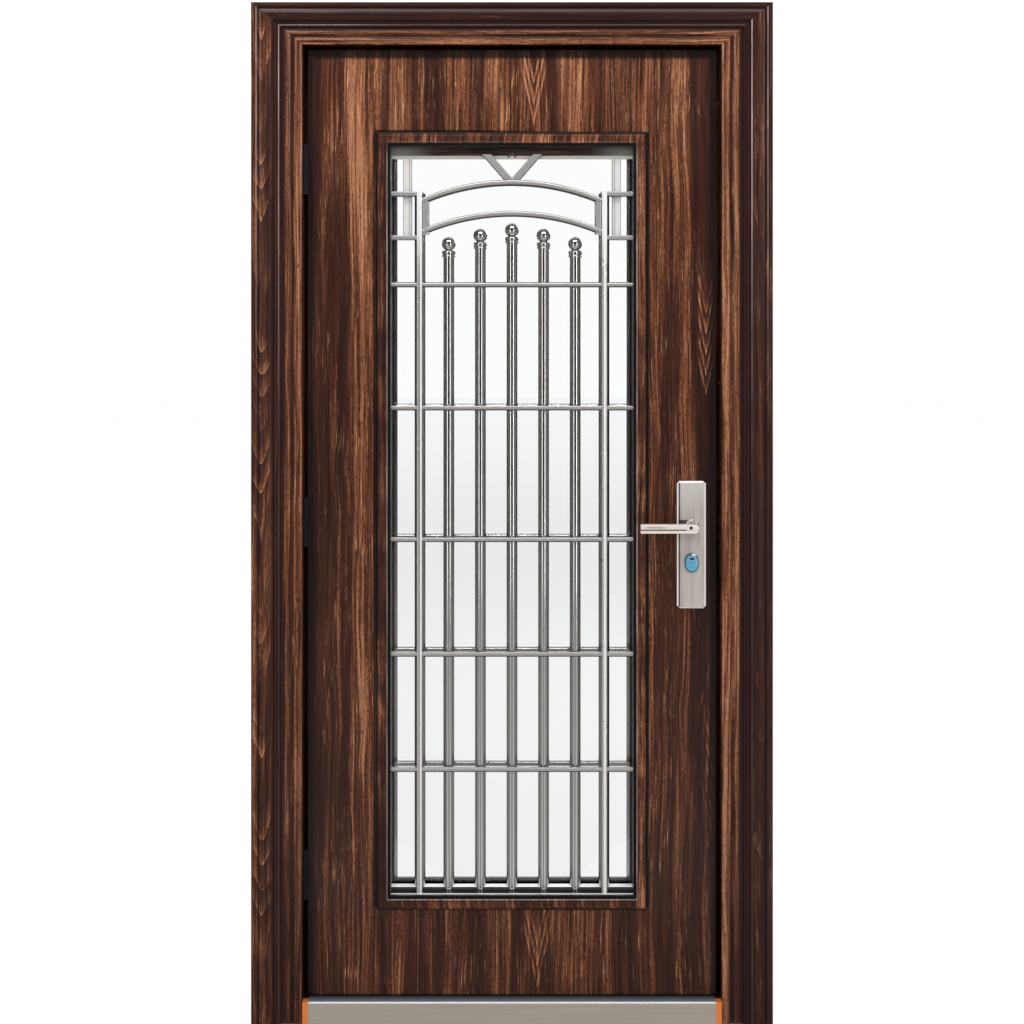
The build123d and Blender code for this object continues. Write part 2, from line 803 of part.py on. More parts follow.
def save_leaf():
    """Writes the pieces of the leaf and its window."""
    save("leaf_front_skin", leaf_front_skin())
    save("leaf_back_skin", leaf_back_skin())
    for side, shape in leaf_core().items():
        save("leaf_core_" + side, shape)
    save("window_trim_front", window_trim(leaf_front_y, -1))
    save("window_trim_back", window_trim(leaf_back_y, 1))
    save("window_lining", window_lining())
    save("glass_pane", glass_pane())


def save_grille():
    """Writes the posts and the two lattices."""
    save("grille_posts", grille_posts())
    save("grille_finials", [finial(k) for k in range(len(post_x))])
    save("grille_side_posts", side_posts())
    save("grille_corner_tubes", corner_tubes())
    save("grille_top_rail", top_rail())
    save("front_lattice", lattice_bars(front_bar_y))
    save("front_arches", arches(front_bar_y))
    save("front_vee", vee(front_bar_y))
    save("back_lattice", lattice_bars(back_bar_y) + border(back_bar_y))
    save("back_arches", arches(back_bar_y))
    save("back_vee", vee(back_bar_y) - border(back_bar_y))


def save_fittings():
    """Writes the hinges and the lock."""
    for name, z in zip(("bottom", "middle", "top"), hinge_z):
        save("hinge_box_" + name, hinge_box(z))
        save("hinge_arm_" + name, hinge_arm(z))
    save("lock_plate_outside", lock_plate(leaf_front_y, -1))
    save("lock_plate_inside", lock_plate(leaf_back_y, 1))
    save("lock_cylinder", lock_cylinder())
    save("thumb_turn", thumb_turn())
    save("lock_face_plates", face_plates())
    save("lock_bolts", lock_bolts(0.0))
    save("key_cover_pin", cover_pin())
    save("key_cover", key_cover())
    save("lever_outside", lever(leaf_front_y, -1))
    save("lever_inside", lever(leaf_back_y, 1))
    save("lever_spindle", spindle())


os.makedirs("parts", exist_ok=True)
save_frame()
save_leaf()
save_grille()
save_fittings()
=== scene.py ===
import math

import bmesh
import bpy
import numpy as np
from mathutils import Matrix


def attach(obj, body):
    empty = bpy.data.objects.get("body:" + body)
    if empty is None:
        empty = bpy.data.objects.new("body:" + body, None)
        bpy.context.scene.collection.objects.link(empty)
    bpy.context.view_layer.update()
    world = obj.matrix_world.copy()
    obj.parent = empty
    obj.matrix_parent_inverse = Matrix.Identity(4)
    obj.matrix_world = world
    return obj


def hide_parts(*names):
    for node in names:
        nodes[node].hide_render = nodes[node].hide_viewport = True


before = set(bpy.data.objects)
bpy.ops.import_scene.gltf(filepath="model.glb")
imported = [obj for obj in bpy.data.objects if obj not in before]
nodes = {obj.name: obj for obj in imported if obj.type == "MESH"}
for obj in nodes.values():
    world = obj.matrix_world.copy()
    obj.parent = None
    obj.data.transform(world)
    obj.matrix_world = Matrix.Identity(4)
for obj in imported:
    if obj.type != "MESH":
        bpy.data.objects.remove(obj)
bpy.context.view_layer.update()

MM = 0.001

# Door places, in metres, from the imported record's own frame
FRAME_HALF = 0.5225
FRAME_TOP = 2.050
FRAME_FRONT = -0.060
LEAF_HALF = 0.413
LEAF_TOP = 1.958
WINDOW_HALF = 0.251
WINDOW_LOW = 0.244
WINDOW_HIGH = 1.769
LEVER_X = 0.362
LEVER_Z = 1.000
KEY_COVER_Z = 0.9235
LOCK_PLATE_Z = 0.959
UPRIGHT_X = 0.1875
TUBE_X = 0.2125

# The two faces of the frame, in mm
JAMB_FACE = 101.5
HEAD_FACE = 84.0

# Camera, at the photograph's angle: a level view from eye height
CAMERA_PLACE = (0.0, -3.660, 1.580)
CAMERA_LENS = 63.3
CAMERA_SHIFT_Y = -0.2687


def srgb(red, green, blue):
    """A colour in linear light from its 0 to 255 screen values."""
    share = np.array([red, green, blue]) / 255.0
    linear = np.where(share <= 0.04045, share / 12.92, ((share + 0.055) / 1.055) ** 2.4)
    return (*(float(v) for v in linear), 1.0)


# Materials

def operator(kind, swapped=False):
    """A reading's arithmetic operator, which adds one maths node."""
    def join(this, other):
        return this.finish.sum(kind, *((other, this) if swapped else (this, other)))
    return join


class Reading:
    """A node's output that takes part in sums: each +, -, *, /, ** and abs adds one maths node."""

    def __init__(self, finish, socket):
        self.finish = finish
        self.socket = socket

    __add__, __radd__ = operator("ADD"), operator("ADD", True)
    __sub__, __rsub__ = operator("SUBTRACT"), operator("SUBTRACT", True)
    __mul__, __rmul__ = operator("MULTIPLY"), operator("MULTIPLY", True)
    __truediv__, __pow__ = operator("DIVIDE"), operator("POWER")

    def __abs__(self):
        return self.finish.sum("ABSOLUTE", self)

    def swing(self, noise, much):
        """This moved by a noise's swing round its middle, times much."""
        return self + (noise - 0.5) * much

    def band(self, low, high, to_low=0.0, to_high=1.0):
        """How far this is from low to high, eased, as a number from to_low to to_high."""
        inputs = {"Value": self, "From Min": low, "From Max": high, "To Min": to_low, "To Max": to_high}
        eased_in = self.finish.node("MapRange", inputs, interpolation_type="SMOOTHSTEP")
        return Reading(self.finish, eased_in.outputs[0])

    def line(self, at, half):
        """1 where this is at a place, fading to 0 half away."""
        return abs(self - at).band(half, half * 0.3)

    def mix(self, share, colour, kind="MIX"):
        """This colour turned towards another by a share."""
        return self.finish.mix(share, self, colour, kind)

    def tint(self, colour, value, low, high, much=1.0):
        """This colour turned towards another by much where value passes from low to high."""
        return self.mix(value.band(low, high, 0.0, much), colour)


class Finish:
    """A material or world under way: its methods add nodes, set or join their inputs, and return an output."""

    def __init__(self, home):
        home.use_nodes = True
        self.home = home
        self.tree = home.node_tree
        self.shader = self.tree.nodes.get("Principled BSDF") or self.tree.nodes["Background"]
        at = self.node("TexCoord").outputs
        self.place, self.facing = at["Object"], at["Normal"]
        self.x, self.y, self.z = self.split(self.place)

    def put(self, socket, value):
        """Joins an output to an input, or sets the input's number or colour. A colour of three is a screen one."""
        value = getattr(value, "socket", value)
        if hasattr(value, "links"):
            self.tree.links.new(value, socket)
        else:
            socket.default_value = srgb(*value) if isinstance(value, tuple) and len(value) == 3 else value

    def node(self, kind, inputs=None, **settings):
        """One new node with its settings, and its inputs by name or number."""
        node = self.tree.nodes.new("ShaderNode" + kind)
        for name, value in settings.items():
            setattr(node, name, value)
        for key, value in (inputs or {}).items():
            self.put(node.inputs[key], value)
        return node

    def set(self, **values):
        """Sets the shader's inputs, their names written with underscores."""
        for name, value in values.items():
            self.put(self.shader.inputs[name.replace("_", " ")], value)
        return self

    def split(self, vector):
        """A vector's three parts."""
        return [Reading(self, part) for part in self.node("SeparateXYZ", {0: vector}).outputs]

    def sum(self, operation, *values, clamp=False):
        """One maths node's answer, kept to 0 and 1 with clamp."""
        node = self.node("Math", dict(enumerate(values)), operation=operation, use_clamp=clamp)
        return Reading(self, node.outputs[0])

    def most(self, first, *others):
        """The largest of some values."""
        for other in others:
            first = self.sum("MAXIMUM", first, other)
        return first

    def ray(self, *kinds):
        """1 for a ray of any of the kinds."""
        path = self.node("LightPath").outputs
        return self.most(*(path[kind] for kind in kinds))

    def mirrored(self):
        """1 in a mirror, however many it took."""
        return self.sum("MINIMUM", self.ray("Glossy Depth"), 1.0)

    def noise(self, at, scale, detail=2.0, rough=0.5):
        """Cloudy noise from 0 to 1."""
        inputs = {"Vector": at, "Scale": scale, "Detail": detail, "Roughness": rough}
        return Reading(self, self.node("TexNoise", inputs).outputs["Fac"])

    def grain(self, across, along, fine, long, seed, detail=2.0):
        """Noise stretched along the grain: fine turns a metre across it and long along it."""
        place = self.node("CombineXYZ", {0: across * fine, 1: seed, 2: along * long}).outputs[0]
        return self.noise(place, 1.0, detail, 0.62)

    def ramp(self, value, stops):
        """A colour drawn over 0 to 1 through (place, colour) stops, in screen colours or single numbers."""
        node = self.node("ValToRGB", {0: value})
        elements = node.color_ramp.elements
        for at, _ in stops[2:]:
            elements.new(at)
        for element, (at, colour) in zip(elements, stops):
            element.position = at
            element.color = srgb(*colour) if isinstance(colour, tuple) else (colour, colour, colour, 1.0)
        return Reading(self, node.outputs[0])

    def curve(self, value, low, high, points):
        """A number drawn over low to high through (place, number) points."""
        stops = [((at - low) / (high - low), number) for at, number in points]
        return self.ramp(self.sum("DIVIDE", value - low, high - low, clamp=True), stops)

    def mix(self, share, first, second, kind="MIX"):
        """The first colour turned towards the second by a share."""
        node = self.node("Mix", {0: share, 6: first, 7: second}, data_type="RGBA", blend_type=kind)
        return Reading(self, node.outputs[2])

    def bump(self, height, depth, strength):
        """Fine relief on the surface."""
        node = self.node("Bump", {"Strength": strength, "Distance": depth, "Height": height})
        return self.set(Normal=node.outputs[0])

    def show(self, share, first, second):
        """Makes the surface one shader or the other by a share."""
        node = self.node("MixShader", {0: share, 1: first.outputs[0], 2: second.outputs[0]})
        self.put(self.tree.nodes["Material Output"].inputs["Surface"], node.outputs[0])


def new_finish(name):
    """A Finish for a new material."""
    return Finish(bpy.data.materials.new(name))


WOOD_TONES = [
    (0.00, (27, 11, 6)), (0.20, (43, 21, 13)), (0.40, (60, 32, 20)), (0.55, (79, 44, 28)),
    (0.70, (101, 60, 38)), (0.86, (123, 79, 53)), (1.00, (148, 102, 75)),
]


def wood_print(name, lie, streaks, figure=None, shade=None, lines=None, maroon=0.25, pale=1.0):
    """Printed wood grain on painted steel. Streaks say how light the wood is across the board, and slow drift
    changes that. Dark wood stays calm; light streaks carry long lines, fibres, a stipple of flecks and pores, and
    fine pale hairs. A figure adds its own light, shade darkens edges with spray and painted shade, and lines are
    painted highlights along the mouldings. Maroon says how red the dark wood is, and pale how strong the hairs are."""
    wood = new_finish(name)
    across, along = lie(wood)
    bent = across.swing(wood.grain(across, along, 4.8, 1.4, 0.0), 0.036)
    bent = bent.swing(wood.grain(across, along, 14.0, 4.5, 3.0), 0.009)

    def drawn(low, high, *grain):
        """Grain that follows the bent streaks, drawn sharper between low and high."""
        return wood.grain(bent, along, *grain).band(low, high)

    light = streaks(wood, bent)
    light = light.swing(wood.grain(bent, along, 15.0, 1.5, 7.0), 0.58)
    light = light.swing(drawn(0.40, 0.60, 54.0, 1.8, 13.0, 3.0), 0.20)
    if figure:
        light = light + figure(wood, across, along)
    glow = light.band(0.20, 0.56, 0.34, 1.0)
    fibres = drawn(0.34, 0.66, 330.0, 7.0, 1.0, 3.0)
    stipple = drawn(0.36, 0.64, 420.0, 110.0, 5.0)
    fine = (drawn(0.38, 0.62, 190.0, 2.0, 11.0) - 0.5) * 0.36
    light = light + fine.swing(fibres, 0.34).swing(stipple, 0.16) * glow
    pores = drawn(0.56, 0.64, 430.0, 70.0, 19.0, 3.0) * glow
    light = wood.sum("SUBTRACT", light, pores * 0.34, clamp=True)
    red = wood.grain(bent, along, 20.0, 3.0, 9.0, 3.0).band(0.48, 0.68, 0.0, 0.26)
    colour = wood.mix(red, wood.ramp(light, WOOD_TONES), (136, 84, 80), "OVERLAY")
    patched = drawn(0.57, 0.65, 400.0, 15.0, 15.0, 3.0) * drawn(0.44, 0.58, 26.0, 5.0, 27.0)
    hairs = wood.sum("MULTIPLY", patched, 0.02 + light, clamp=True)
    colour = colour.mix(hairs * pale, (184, 134, 96))
    colour = colour.tint((42, 20, 19), light, 0.44, 0.16, maroon)
    if shade:
        # Sprayed dark edges, painted shade and painted shadow lines, as the shade function gives
        colour = colour.mix(shade(wood), (14, 9, 8))
    if lines:
        # Painted highlights along the mouldings and along the trim's inner edge
        colour = colour.mix(lines(wood, fibres), (190, 172, 168))
    wood.set(Base_Color=colour, Specular_IOR_Level=0.18, Coat_Weight=0.08, Coat_Roughness=0.12)
    wood.set(Roughness=0.28 + fibres * 0.14)
    return wood.bump(fibres - pores * 0.6, 0.10 * MM, 0.25).home


def rightward(finish, left=0.0, right=1.0):
    """One value on the door's left half and another on its right."""
    return finish.x.band(-0.1, 0.1, left, right)


def leaf_streaks(wood, bent):
    """The leaf's light and dark streaks from its hinge edge to its lock edge, lighter towards the top."""
    points = [
        (-0.413, 0.26), (-0.385, 0.32), (-0.356, 0.36), (-0.345, 0.60), (-0.326, 0.68), (-0.310, 0.56),
        (-0.290, 0.60), (-0.283, 0.18), (-0.272, 0.62), (-0.248, 0.66), (-0.236, 0.30), (-0.172, 0.26),
        (-0.158, 0.56), (-0.118, 0.54), (-0.106, 0.26), (-0.084, 0.28), (-0.074, 0.56), (-0.030, 0.54),
        (-0.020, 0.34), (0.040, 0.34), (0.066, 0.30), (0.078, 0.54), (0.135, 0.58), (0.150, 0.36), (0.170, 0.58),
        (0.188, 0.28), (0.238, 0.30), (0.250, 0.52), (0.300, 0.40), (0.332, 0.58), (0.346, 0.18), (0.413, 0.12),
    ]
    across = wood.curve(bent, -LEAF_HALF, LEAF_HALF, points)
    strong = wood.z.band(0.15, 0.55, 0.50, 1.0)
    across = 0.4 + (across - 0.4) * strong
    return across + wood.z.band(1.1, 1.95, 0.0, 0.12)


def leaf_spray_and_shade(wood):
    """How dark the edge is, sprayed dark and painted with the frame's shade: full at the leaf's two sides and top,
    none 16 mm in; and a painted shadow line round the foot of the trim, with none below the window."""
    side = abs(wood.x).band(LEAF_HALF - 0.02, LEAF_HALF - 0.008)
    top = wood.z.band(LEAF_TOP - 0.022, LEAF_TOP - 0.014)
    narrow = wood.z.band(WINDOW_HIGH + 0.020, WINDOW_HIGH + 0.023, 0.0, 0.0020)
    right = rightward(wood, 0.0, 0.0036)
    foot = (window_off(wood) + narrow + right).band(0.03, 0.0284)
    foot = foot * wood.z.band(WINDOW_LOW - 0.024, WINDOW_LOW - 0.016)
    return wood.most(side, top, foot) * 0.88


def window_off(wood):
    """How far outside the window's opening, by whichever side is further."""
    side = abs(wood.x) - WINDOW_HALF
    middle = (WINDOW_LOW + WINDOW_HIGH) / 2
    tall = abs(wood.z - middle) - (WINDOW_HIGH - middle)
    return wood.most(side, tall)


def trim_streaks(wood, bent):
    """The trim's tone out from its opening: dark in its hollow, lighter along its top and its right side."""
    off = window_off(wood)
    points = [(0.0, 0.26), (0.012, 0.38), (0.016, 0.30), (0.024, 0.28)]
    tone = wood.curve(off, 0.0, 0.024, points).swing(wood.noise(wood.place, 14.0), 1.1)
    right = wood.x.band(WINDOW_HALF - 0.002, WINDOW_HALF, 0.0, 0.20)
    top = wood.z.band(WINDOW_HIGH, WINDOW_HIGH + 0.002, 0.0, 0.16)
    return tone + wood.most(right, top)


def trim_foot_shadow(wood):
    """How black the painted shadow at the trim's outer foot is, wider on its right side."""
    right = rightward(wood, 0.0, 0.0022)
    return (window_off(wood) + right).band(0.0198, 0.0212) * 0.95


def trim_edge_highlight(wood, fibre_share):
    """The trim's painted highlight along its inner edge, weaker at the top."""
    edge = window_off(wood).line(0.0012, 0.0014)
    below = wood.z.band(WINDOW_HIGH - 0.040, WINDOW_HIGH - 0.004, 1.0, 0.15)
    return edge * below * (0.12 + fibre_share * 0.55)


def chevrons(wood, across, along, centre, tip, half, height):
    """Nested flames that point down, 42 mm apart: light grows to each tip, inside half of centre, and fades over
    height above tip."""
    steep, period = 4.5, 0.042
    off = abs(across - centre)
    rough = wood.grain(across, along, 40.0, 9.0, 2.0, 3.0)
    field = (along - tip - off * steep).swing(rough, period * 0.5)
    turn = wood.sum("FRACT", field / period)
    flame = (1.0 - turn) ** 2.0
    inside = off.band(half, half * 0.6) * field.band(0.0, 0.003)
    return flame * (inside * field.band(height, height * 0.5))


def leaf_figure(wood, across, along):
    """The flames at the top centre, beside the lock, and under the window."""
    total = None
    for centre, tip, half, height, much in (
        (0.022, 1.804, 0.028, 0.150, 0.85), (0.370, 1.258, 0.020, 0.260, 0.80),
        (0.029, 0.062, 0.034, 0.140, 0.50), (0.384, 0.362, 0.018, 0.300, 0.50),
    ):
        flame = chevrons(wood, across, along, centre, tip, half, height) * much
        total = flame if total is None else total + flame
    return total


FRAME_BANDS = [
    (0.000, 0.44), (0.011, 0.38), (0.014, 0.16), (0.018, 0.34), (0.030, 0.40), (0.040, 0.32), (0.043, 0.16),
    (0.052, 0.26), (0.056, 0.16), (0.064, 0.20), (0.067, 0.60), (0.074, 0.66), (0.080, 0.40), (0.083, 0.36),
    (0.086, 0.70), (0.099, 0.72), (0.103, 0.30), (0.140, 0.30), (0.200, 0.24),
]


def inward(wood):
    """How far in from the frame's nearest outer side."""
    return FRAME_HALF - abs(wood.x)


def downward(wood):
    """How far down from the head's top, in the jambs' widths, which are a fifth more than the head's."""
    return (FRAME_TOP - wood.z) * (JAMB_FACE / HEAD_FACE)


def jamb_streaks(wood, bent):
    """From a jamb's outer edge in: dark moulding, then the light inner band; the right jamb has more contrast."""
    tone = wood.curve(inward(wood), 0.0, 0.200, FRAME_BANDS)
    tone = tone + rightward(wood) * inward(wood).band(0.06, 0.068, -0.16, 0.08)
    low = wood.z.band(0.55, 0.05) * inward(wood).band(0.06, 0.068)
    return tone - low * 0.24


def head_streaks(wood, bent):
    """The same bands down from the head's top edge, darker in the outer half."""
    down = downward(wood)
    return wood.curve(down, 0.0, 0.2, FRAME_BANDS) + down.band(0.058, 0.072, -0.2, 0.0)


def highlight_sum(wood, off, total, lines):
    """A first line's strength with further (place, half width, strength) lines added."""
    for at, half, much in lines:
        total = total + off.line(at, half) * much
    return total


def jamb_highlights(wood, fibre_share):
    """Painted highlights along the ridges: strong at the top, faint by the middle."""
    fade = wood.z.band(1.10, 1.98, 0.10, 0.85)
    off = inward(wood)
    ridge = 0.0545 - rightward(wood) * 0.0125
    total = off.line(ridge, 0.0016) * rightward(wood, 0.85, 0.95)
    others = ((0.0100, 0.0015, 0.95), (0.0185, 0.0014, 0.22), (0.0765, 0.0013, 0.40), (0.0990, 0.0013, 0.30))
    return highlight_sum(wood, off, total, others) * fade * (0.45 + fibre_share * 0.55)


def head_highlights(wood, fibre_share):
    """The same painted highlights along the head, fading to the right."""
    fade = wood.x.band(-0.46, -0.12, 0.90, 0.22)
    down = downward(wood)
    total = down.line(0.0178, 0.0014) * 0.3
    others = ((0.0240, 0.0014, 0.25), (0.0545, 0.0013, 0.55), (0.0690, 0.0013, 0.35), (0.0880, 0.0015, 0.35))
    return highlight_sum(wood, down, total, others) * fade * (0.45 + fibre_share * 0.55)


def jamb_flames(wood, across, along):
    """Rounded flames that point down the outer moulding: thin light edges round soft light, uneven in length and
    strength, and faint on the right jamb."""
    off = abs(abs(wood.x) - (FRAME_HALF - 0.021))
    slow = wood.grain(wood.x, along, 4.0, 3.2, 2.0, 1.0)
    rough = wood.grain(wood.x, along, 60.0, 14.0, 33.0, 3.0)
    steep = wood.sum("SQRT", off ** 2.0 + 0.004 ** 2) * 3.6
    field = along.swing(slow, 0.42).swing(rough, 0.03) - steep
    turn = wood.sum("FRACT", field / 0.078)
    edge = turn.band(0.16, 0.03)
    glow = (1.0 - turn) ** 1.6 * 0.6
    some = wood.grain(wood.x, along, 6.0, 4.0, 23.0).band(0.42, 0.56, 0.08, 0.72)
    some = some * rightward(wood, 1.0, 0.3)
    flame = wood.most(edge * turn.band(0.0, 0.02), glow)
    return flame * off.band(0.024, 0.01) * some


def shaded(colour, much):
    """A screen colour in linear light times much, kept to 1."""
    return (*(min(1.0, c * much) for c in srgb(*colour)[:3]), 1.0)


def steel(name, colour, rough, grain=None, metal=1.0, patch=0.05, marks=None, rim=1.0):
    """Bare or plated metal: soft patches of tone and shine, brushing along one axis where grain is given, and
    marks that change the tone from place to place. A low rim darkens it where it turns away from the eye."""
    finish = new_finish(name).set(Specular_Tint=(rim, rim, rim, 1.0))
    cloud = finish.noise(finish.place, 9.0, 4.0, 0.6)
    tone = finish.mix(cloud, shaded(colour, 1 - patch), shaded(colour, 1 + patch))
    if grain:
        places = (finish.x, finish.y, finish.z)
        stretched = finish.node("CombineXYZ", {i: places[i] * grain[i] for i in range(3)}).outputs[0]
        lines = finish.noise(stretched, 1.0, 4.0, 0.7)
        tone = tone.mix(lines.band(0.35, 0.65, 0.0, 0.35), shaded(colour, 0.72))
        finish.bump(lines, 0.020 * MM, 0.5)
        shine = rough - 0.04 + lines * 0.1
    else:
        fine = finish.noise(finish.place, 900.0, 3.0, 0.6)
        finish.bump(fine, 0.006 * MM, 0.15)
        shine = rough - 0.03 + cloud * 0.07
    finish.set(Metallic=metal, Roughness=shine)
    finish.set(Base_Color=marks(finish, tone) if marks else tone)
    return finish.home


def plain(name, colour, rough, spread=0.12, coat=0.0, shine=0.5, marks=None):
    """A moulded or painted surface: clouded tone, fine texture and uneven roughness."""
    finish = new_finish(name)
    cloud = finish.noise(finish.place, 40.0, 4.0, 0.6)
    fine = finish.noise(finish.place, 600.0, 3.0, 0.6)
    tone = finish.mix(cloud, shaded(colour, 1 - spread), shaded(colour, 1 + spread))
    if marks:
        tone = marks(finish, tone)
    finish.set(Base_Color=tone, Roughness=rough - 0.05 + fine * 0.1)
    finish.set(Coat_Weight=coat, Specular_IOR_Level=shine)
    return finish.bump(fine, 0.05 * MM, 0.3).home


def tube_marks(finish, tone):
    """The corner tubes' edges darkened by painted shade, and the thin darker line inside them."""
    off = abs(finish.x) - TUBE_X
    tone = tone.tint((70, 68, 66), abs(off), 0.007, 0.0086, 0.85)
    return tone.mix(off.line(-0.004, 0.0016) * 0.55, (96, 94, 92))


def bar_shade_and_highlights(finish, tone):
    """Painted shade on a bar's sides and under it, a painted dimmer top, and painted highlight lines on the
    uprights, brightest near their tops.
    """
    sideways, _, upward = finish.split(finish.facing)
    # Painted shade on the bar's sides
    tone = tone.tint((60, 57, 56), abs(sideways), 0.35, 0.85, 0.85)
    left = finish.x.line(0.003 - UPRIGHT_X, 0.0021)
    right = finish.x.line(UPRIGHT_X + 0.0008, 0.0032)
    aside = abs(abs(finish.x) - UPRIGHT_X)
    head = finish.z.band(1.47, 1.62, 0.0, 0.85) * aside.band(0.0056, 0.0046)
    painted_highlight = finish.most(left, right, head)
    finish.set(Metallic=0.66 - painted_highlight * 0.56)
    tone = tone.mix(painted_highlight * 0.95, (218, 217, 215))
    # Painted shade under the bar, and a painted dimmer top
    tone = tone.tint((28, 26, 25), upward, 0.02, -0.55, 0.94)
    return tone.tint((140, 138, 136), upward, 0.25, 0.70, 0.80)


def plate_marks(finish, tone):
    """The lock plate's polished rim painted bright as its reflection, a painted shade line inside its left edge, a
    painted lighter sheen towards its top, and the lever's painted shadow and reflection above its grip and by its
    hub.
    """
    x, z = finish.x, finish.z
    left = x.band(0.3358, 0.3350)
    right = x.band(0.3874, 0.3882)
    ends = abs(z - LOCK_PLATE_Z).band(0.125, 0.1258)
    rim = finish.most(left, right, ends)
    dark = x.band(0.3352, 0.336) * x.band(0.3396, 0.3382)
    dark = finish.sum("SUBTRACT", dark, ends, clamp=True)
    finish.set(Metallic=0.7 - rim * 0.62)
    cloud = finish.grain(x, z, 60.0, 8.0, 12.0)
    tone = tone.tint((176, 164, 156), cloud, 0.40, 0.66, 0.40)
    # A painted lighter sheen towards the top
    tone = tone.tint((250, 244, 240), z, 1.010, 1.085, 0.55)
    # A painted shade line inside the left edge
    tone = tone.mix(dark * 0.85, (52, 46, 48))
    # The lever's painted shadow and reflection above the grip and beside the hub
    above = z.band(1.01, 1.0086) * z.band(1.0, 1.0014)
    above = above * (x.band(0.3546, 0.3526) * x.band(0.334, 0.3356))
    beside = x.line(0.3756, 0.0014) * z.line(0.999, 0.007)
    tone = tone.mix(finish.most(above, beside) * 0.88, (40, 36, 36))
    # The polished rim painted bright as its reflection
    return tone.mix(rim, (238, 233, 229))


def lever_reflections(finish, tone):
    """The lever's painted reflections: a darker upper edge, a dark streak, a brown line along its fold and a brown
    foot, and a painted highlight on its lower slope.
    """
    high = finish.z - LEVER_Z
    tone = tone.tint((96, 86, 80), high, 0.0064, 0.0074, 0.60)
    fold = high.line(-0.003, 0.0021) * finish.x.band(0.35, 0.344, 0.3, 1.0)
    dark_reflection = high.line(0.002, 0.003) * finish.x.line(0.286, 0.03)
    tone = tone.mix(dark_reflection * 0.55, (110, 104, 104))
    tone = tone.tint((255, 250, 236), high, -0.0038, -0.0052)
    tone = tone.tint((104, 72, 52), high, -0.0096, -0.0108, 0.85)
    return tone.mix(fold, (92, 70, 58))


def sill_marks(finish, tone):
    """Painted shade on the sill's bluish tread, deeper towards the back, and a painted highlight along its front
    edge.
    """
    upward = finish.split(finish.facing)[2]
    tread = upward.band(0.5, 0.9)
    finish.set(Metallic=0.55 - tread * 0.45)
    shaded_tread = finish.mix(finish.y.band(-0.046, -0.020), (112, 122, 142), (52, 56, 66))
    tone = tone.mix(tread * 0.94, shaded_tread)
    edge = finish.y.band(-0.044, -0.0452) * finish.z.band(0.0405, 0.0418)
    return tone.mix(edge, (250, 249, 247))


def lining_marks(finish, tone):
    """The lining's painted reflections and shade: dimmer sides, reddish on the right, and a dark bottom with one
    painted highlight line along it.
    """
    across, _, upward = finish.split(finish.facing)
    side = abs(across).band(0.6, 0.9)
    bottom = upward.band(0.6, 0.9) * finish.z.band(0.262, 0.256)
    both = finish.most(side, bottom)
    finish.set(Metallic=0.85 - both * 0.65)
    dim = finish.mix(rightward(finish), (112, 110, 108), (74, 58, 60))
    tone = tone.mix(side, dim)
    tone = tone.mix(bottom, (44, 42, 42))
    return tone.mix(bottom * finish.y.line(-0.0148, 0.0046), (244, 245, 246))


def back_marks(finish, tone):
    """Painted shade on the back bars: dimmer top edges and a dark lowest length."""
    upward = finish.split(finish.facing)[2]
    tone = tone.tint((112, 110, 108), upward, 0.10, 0.50, 0.85)
    return tone.tint((44, 42, 42), finish.z, 0.274, 0.268, 0.9)


def base_marks(finish, tone):
    """A painted highlight on the low bar's upper side, over its dark front."""
    upward = finish.split(finish.facing)[2]
    top = upward.band(0.4, 0.8)
    finish.set(Metallic=0.7 - top * 0.6)
    return tone.mix(top, (238, 240, 241))


def end_marks(finish, tone):
    """The sill ends' shade where they run in behind the leaf."""
    return tone.tint((24, 14, 10), finish.y, -0.034, -0.024)


def rail_reflections(finish, tone):
    """The rail's painted reflection: reddish dark to the middle, streaked along, with a painted highlight
    on its lower edge.
    """
    streaks = finish.grain(finish.z, finish.x, 220.0, 9.0, 4.0, 3.0)
    middle = abs(finish.x).band(0.232, 0.15, 0.25, 0.97)
    reflected_tone = finish.mix(streaks.band(0.38, 0.62), (34, 24, 24), (86, 62, 58))
    tone = tone.mix(middle, reflected_tone)
    return tone.tint((222, 218, 212), finish.z, 1.7452, 1.7442)


def cover_marks(finish, tone):
    """The key cover's tone, darker blue towards its top, with painted shade at its rim, a painted highlight round
    the notch, the notch painted dark as its shade, and a painted highlight arc over it.
    """
    x, z = finish.x - LEVER_X, finish.z - KEY_COVER_Z
    high = finish.most(abs(z) - 0.005, 0.0)
    far = finish.sum("SQRT", x ** 2.0 + high ** 2.0)
    wide = abs(x)
    tone = tone.tint((46, 104, 138), z, -0.002, 0.014, 0.30)
    notch_highlight = z.line(0.0088, 0.007) * wide.band(0.0095, 0.006)
    tone = tone.mix(notch_highlight * 0.22, (200, 208, 208))
    tall = (z - 0.0086) / 0.0021
    slot = (wide / 0.0056) ** 2.0 + tall ** 2.0
    tone = tone.tint((26, 28, 32), slot, 1.25, 0.70)
    tone = tone.tint((16, 48, 68), far, 0.0108, 0.0128, 0.90)
    arc = z.line(0.0168, 0.0026) * x.band(-0.001, 0.002)
    return tone.mix(arc * 0.8, (226, 238, 242))


def clear_glass():
    """Clear plate glass that lets lamp light through, with faint uneven shine."""
    glass = new_finish("pane_glass_clear")
    smear = glass.noise(glass.place, 5.0, 3.0)
    glass.set(Base_Color=(252, 253, 253), Transmission_Weight=1.0, IOR=1.45)
    glass.set(Roughness=smear.band(0.45, 0.75, 0.0, 0.012))
    glass.show(glass.ray("Is Shadow Ray", "Is Diffuse Ray"), glass.shader, glass.node("BsdfTransparent"))
    return glass.home


def upright(wood):
    """Where a board with upright grain is read: across it, round its folds too, and along it."""
    return wood.x + wood.y, wood.z


def level(wood):
    """The same for a board with level grain."""
    return wood.z + wood.y, wood.x


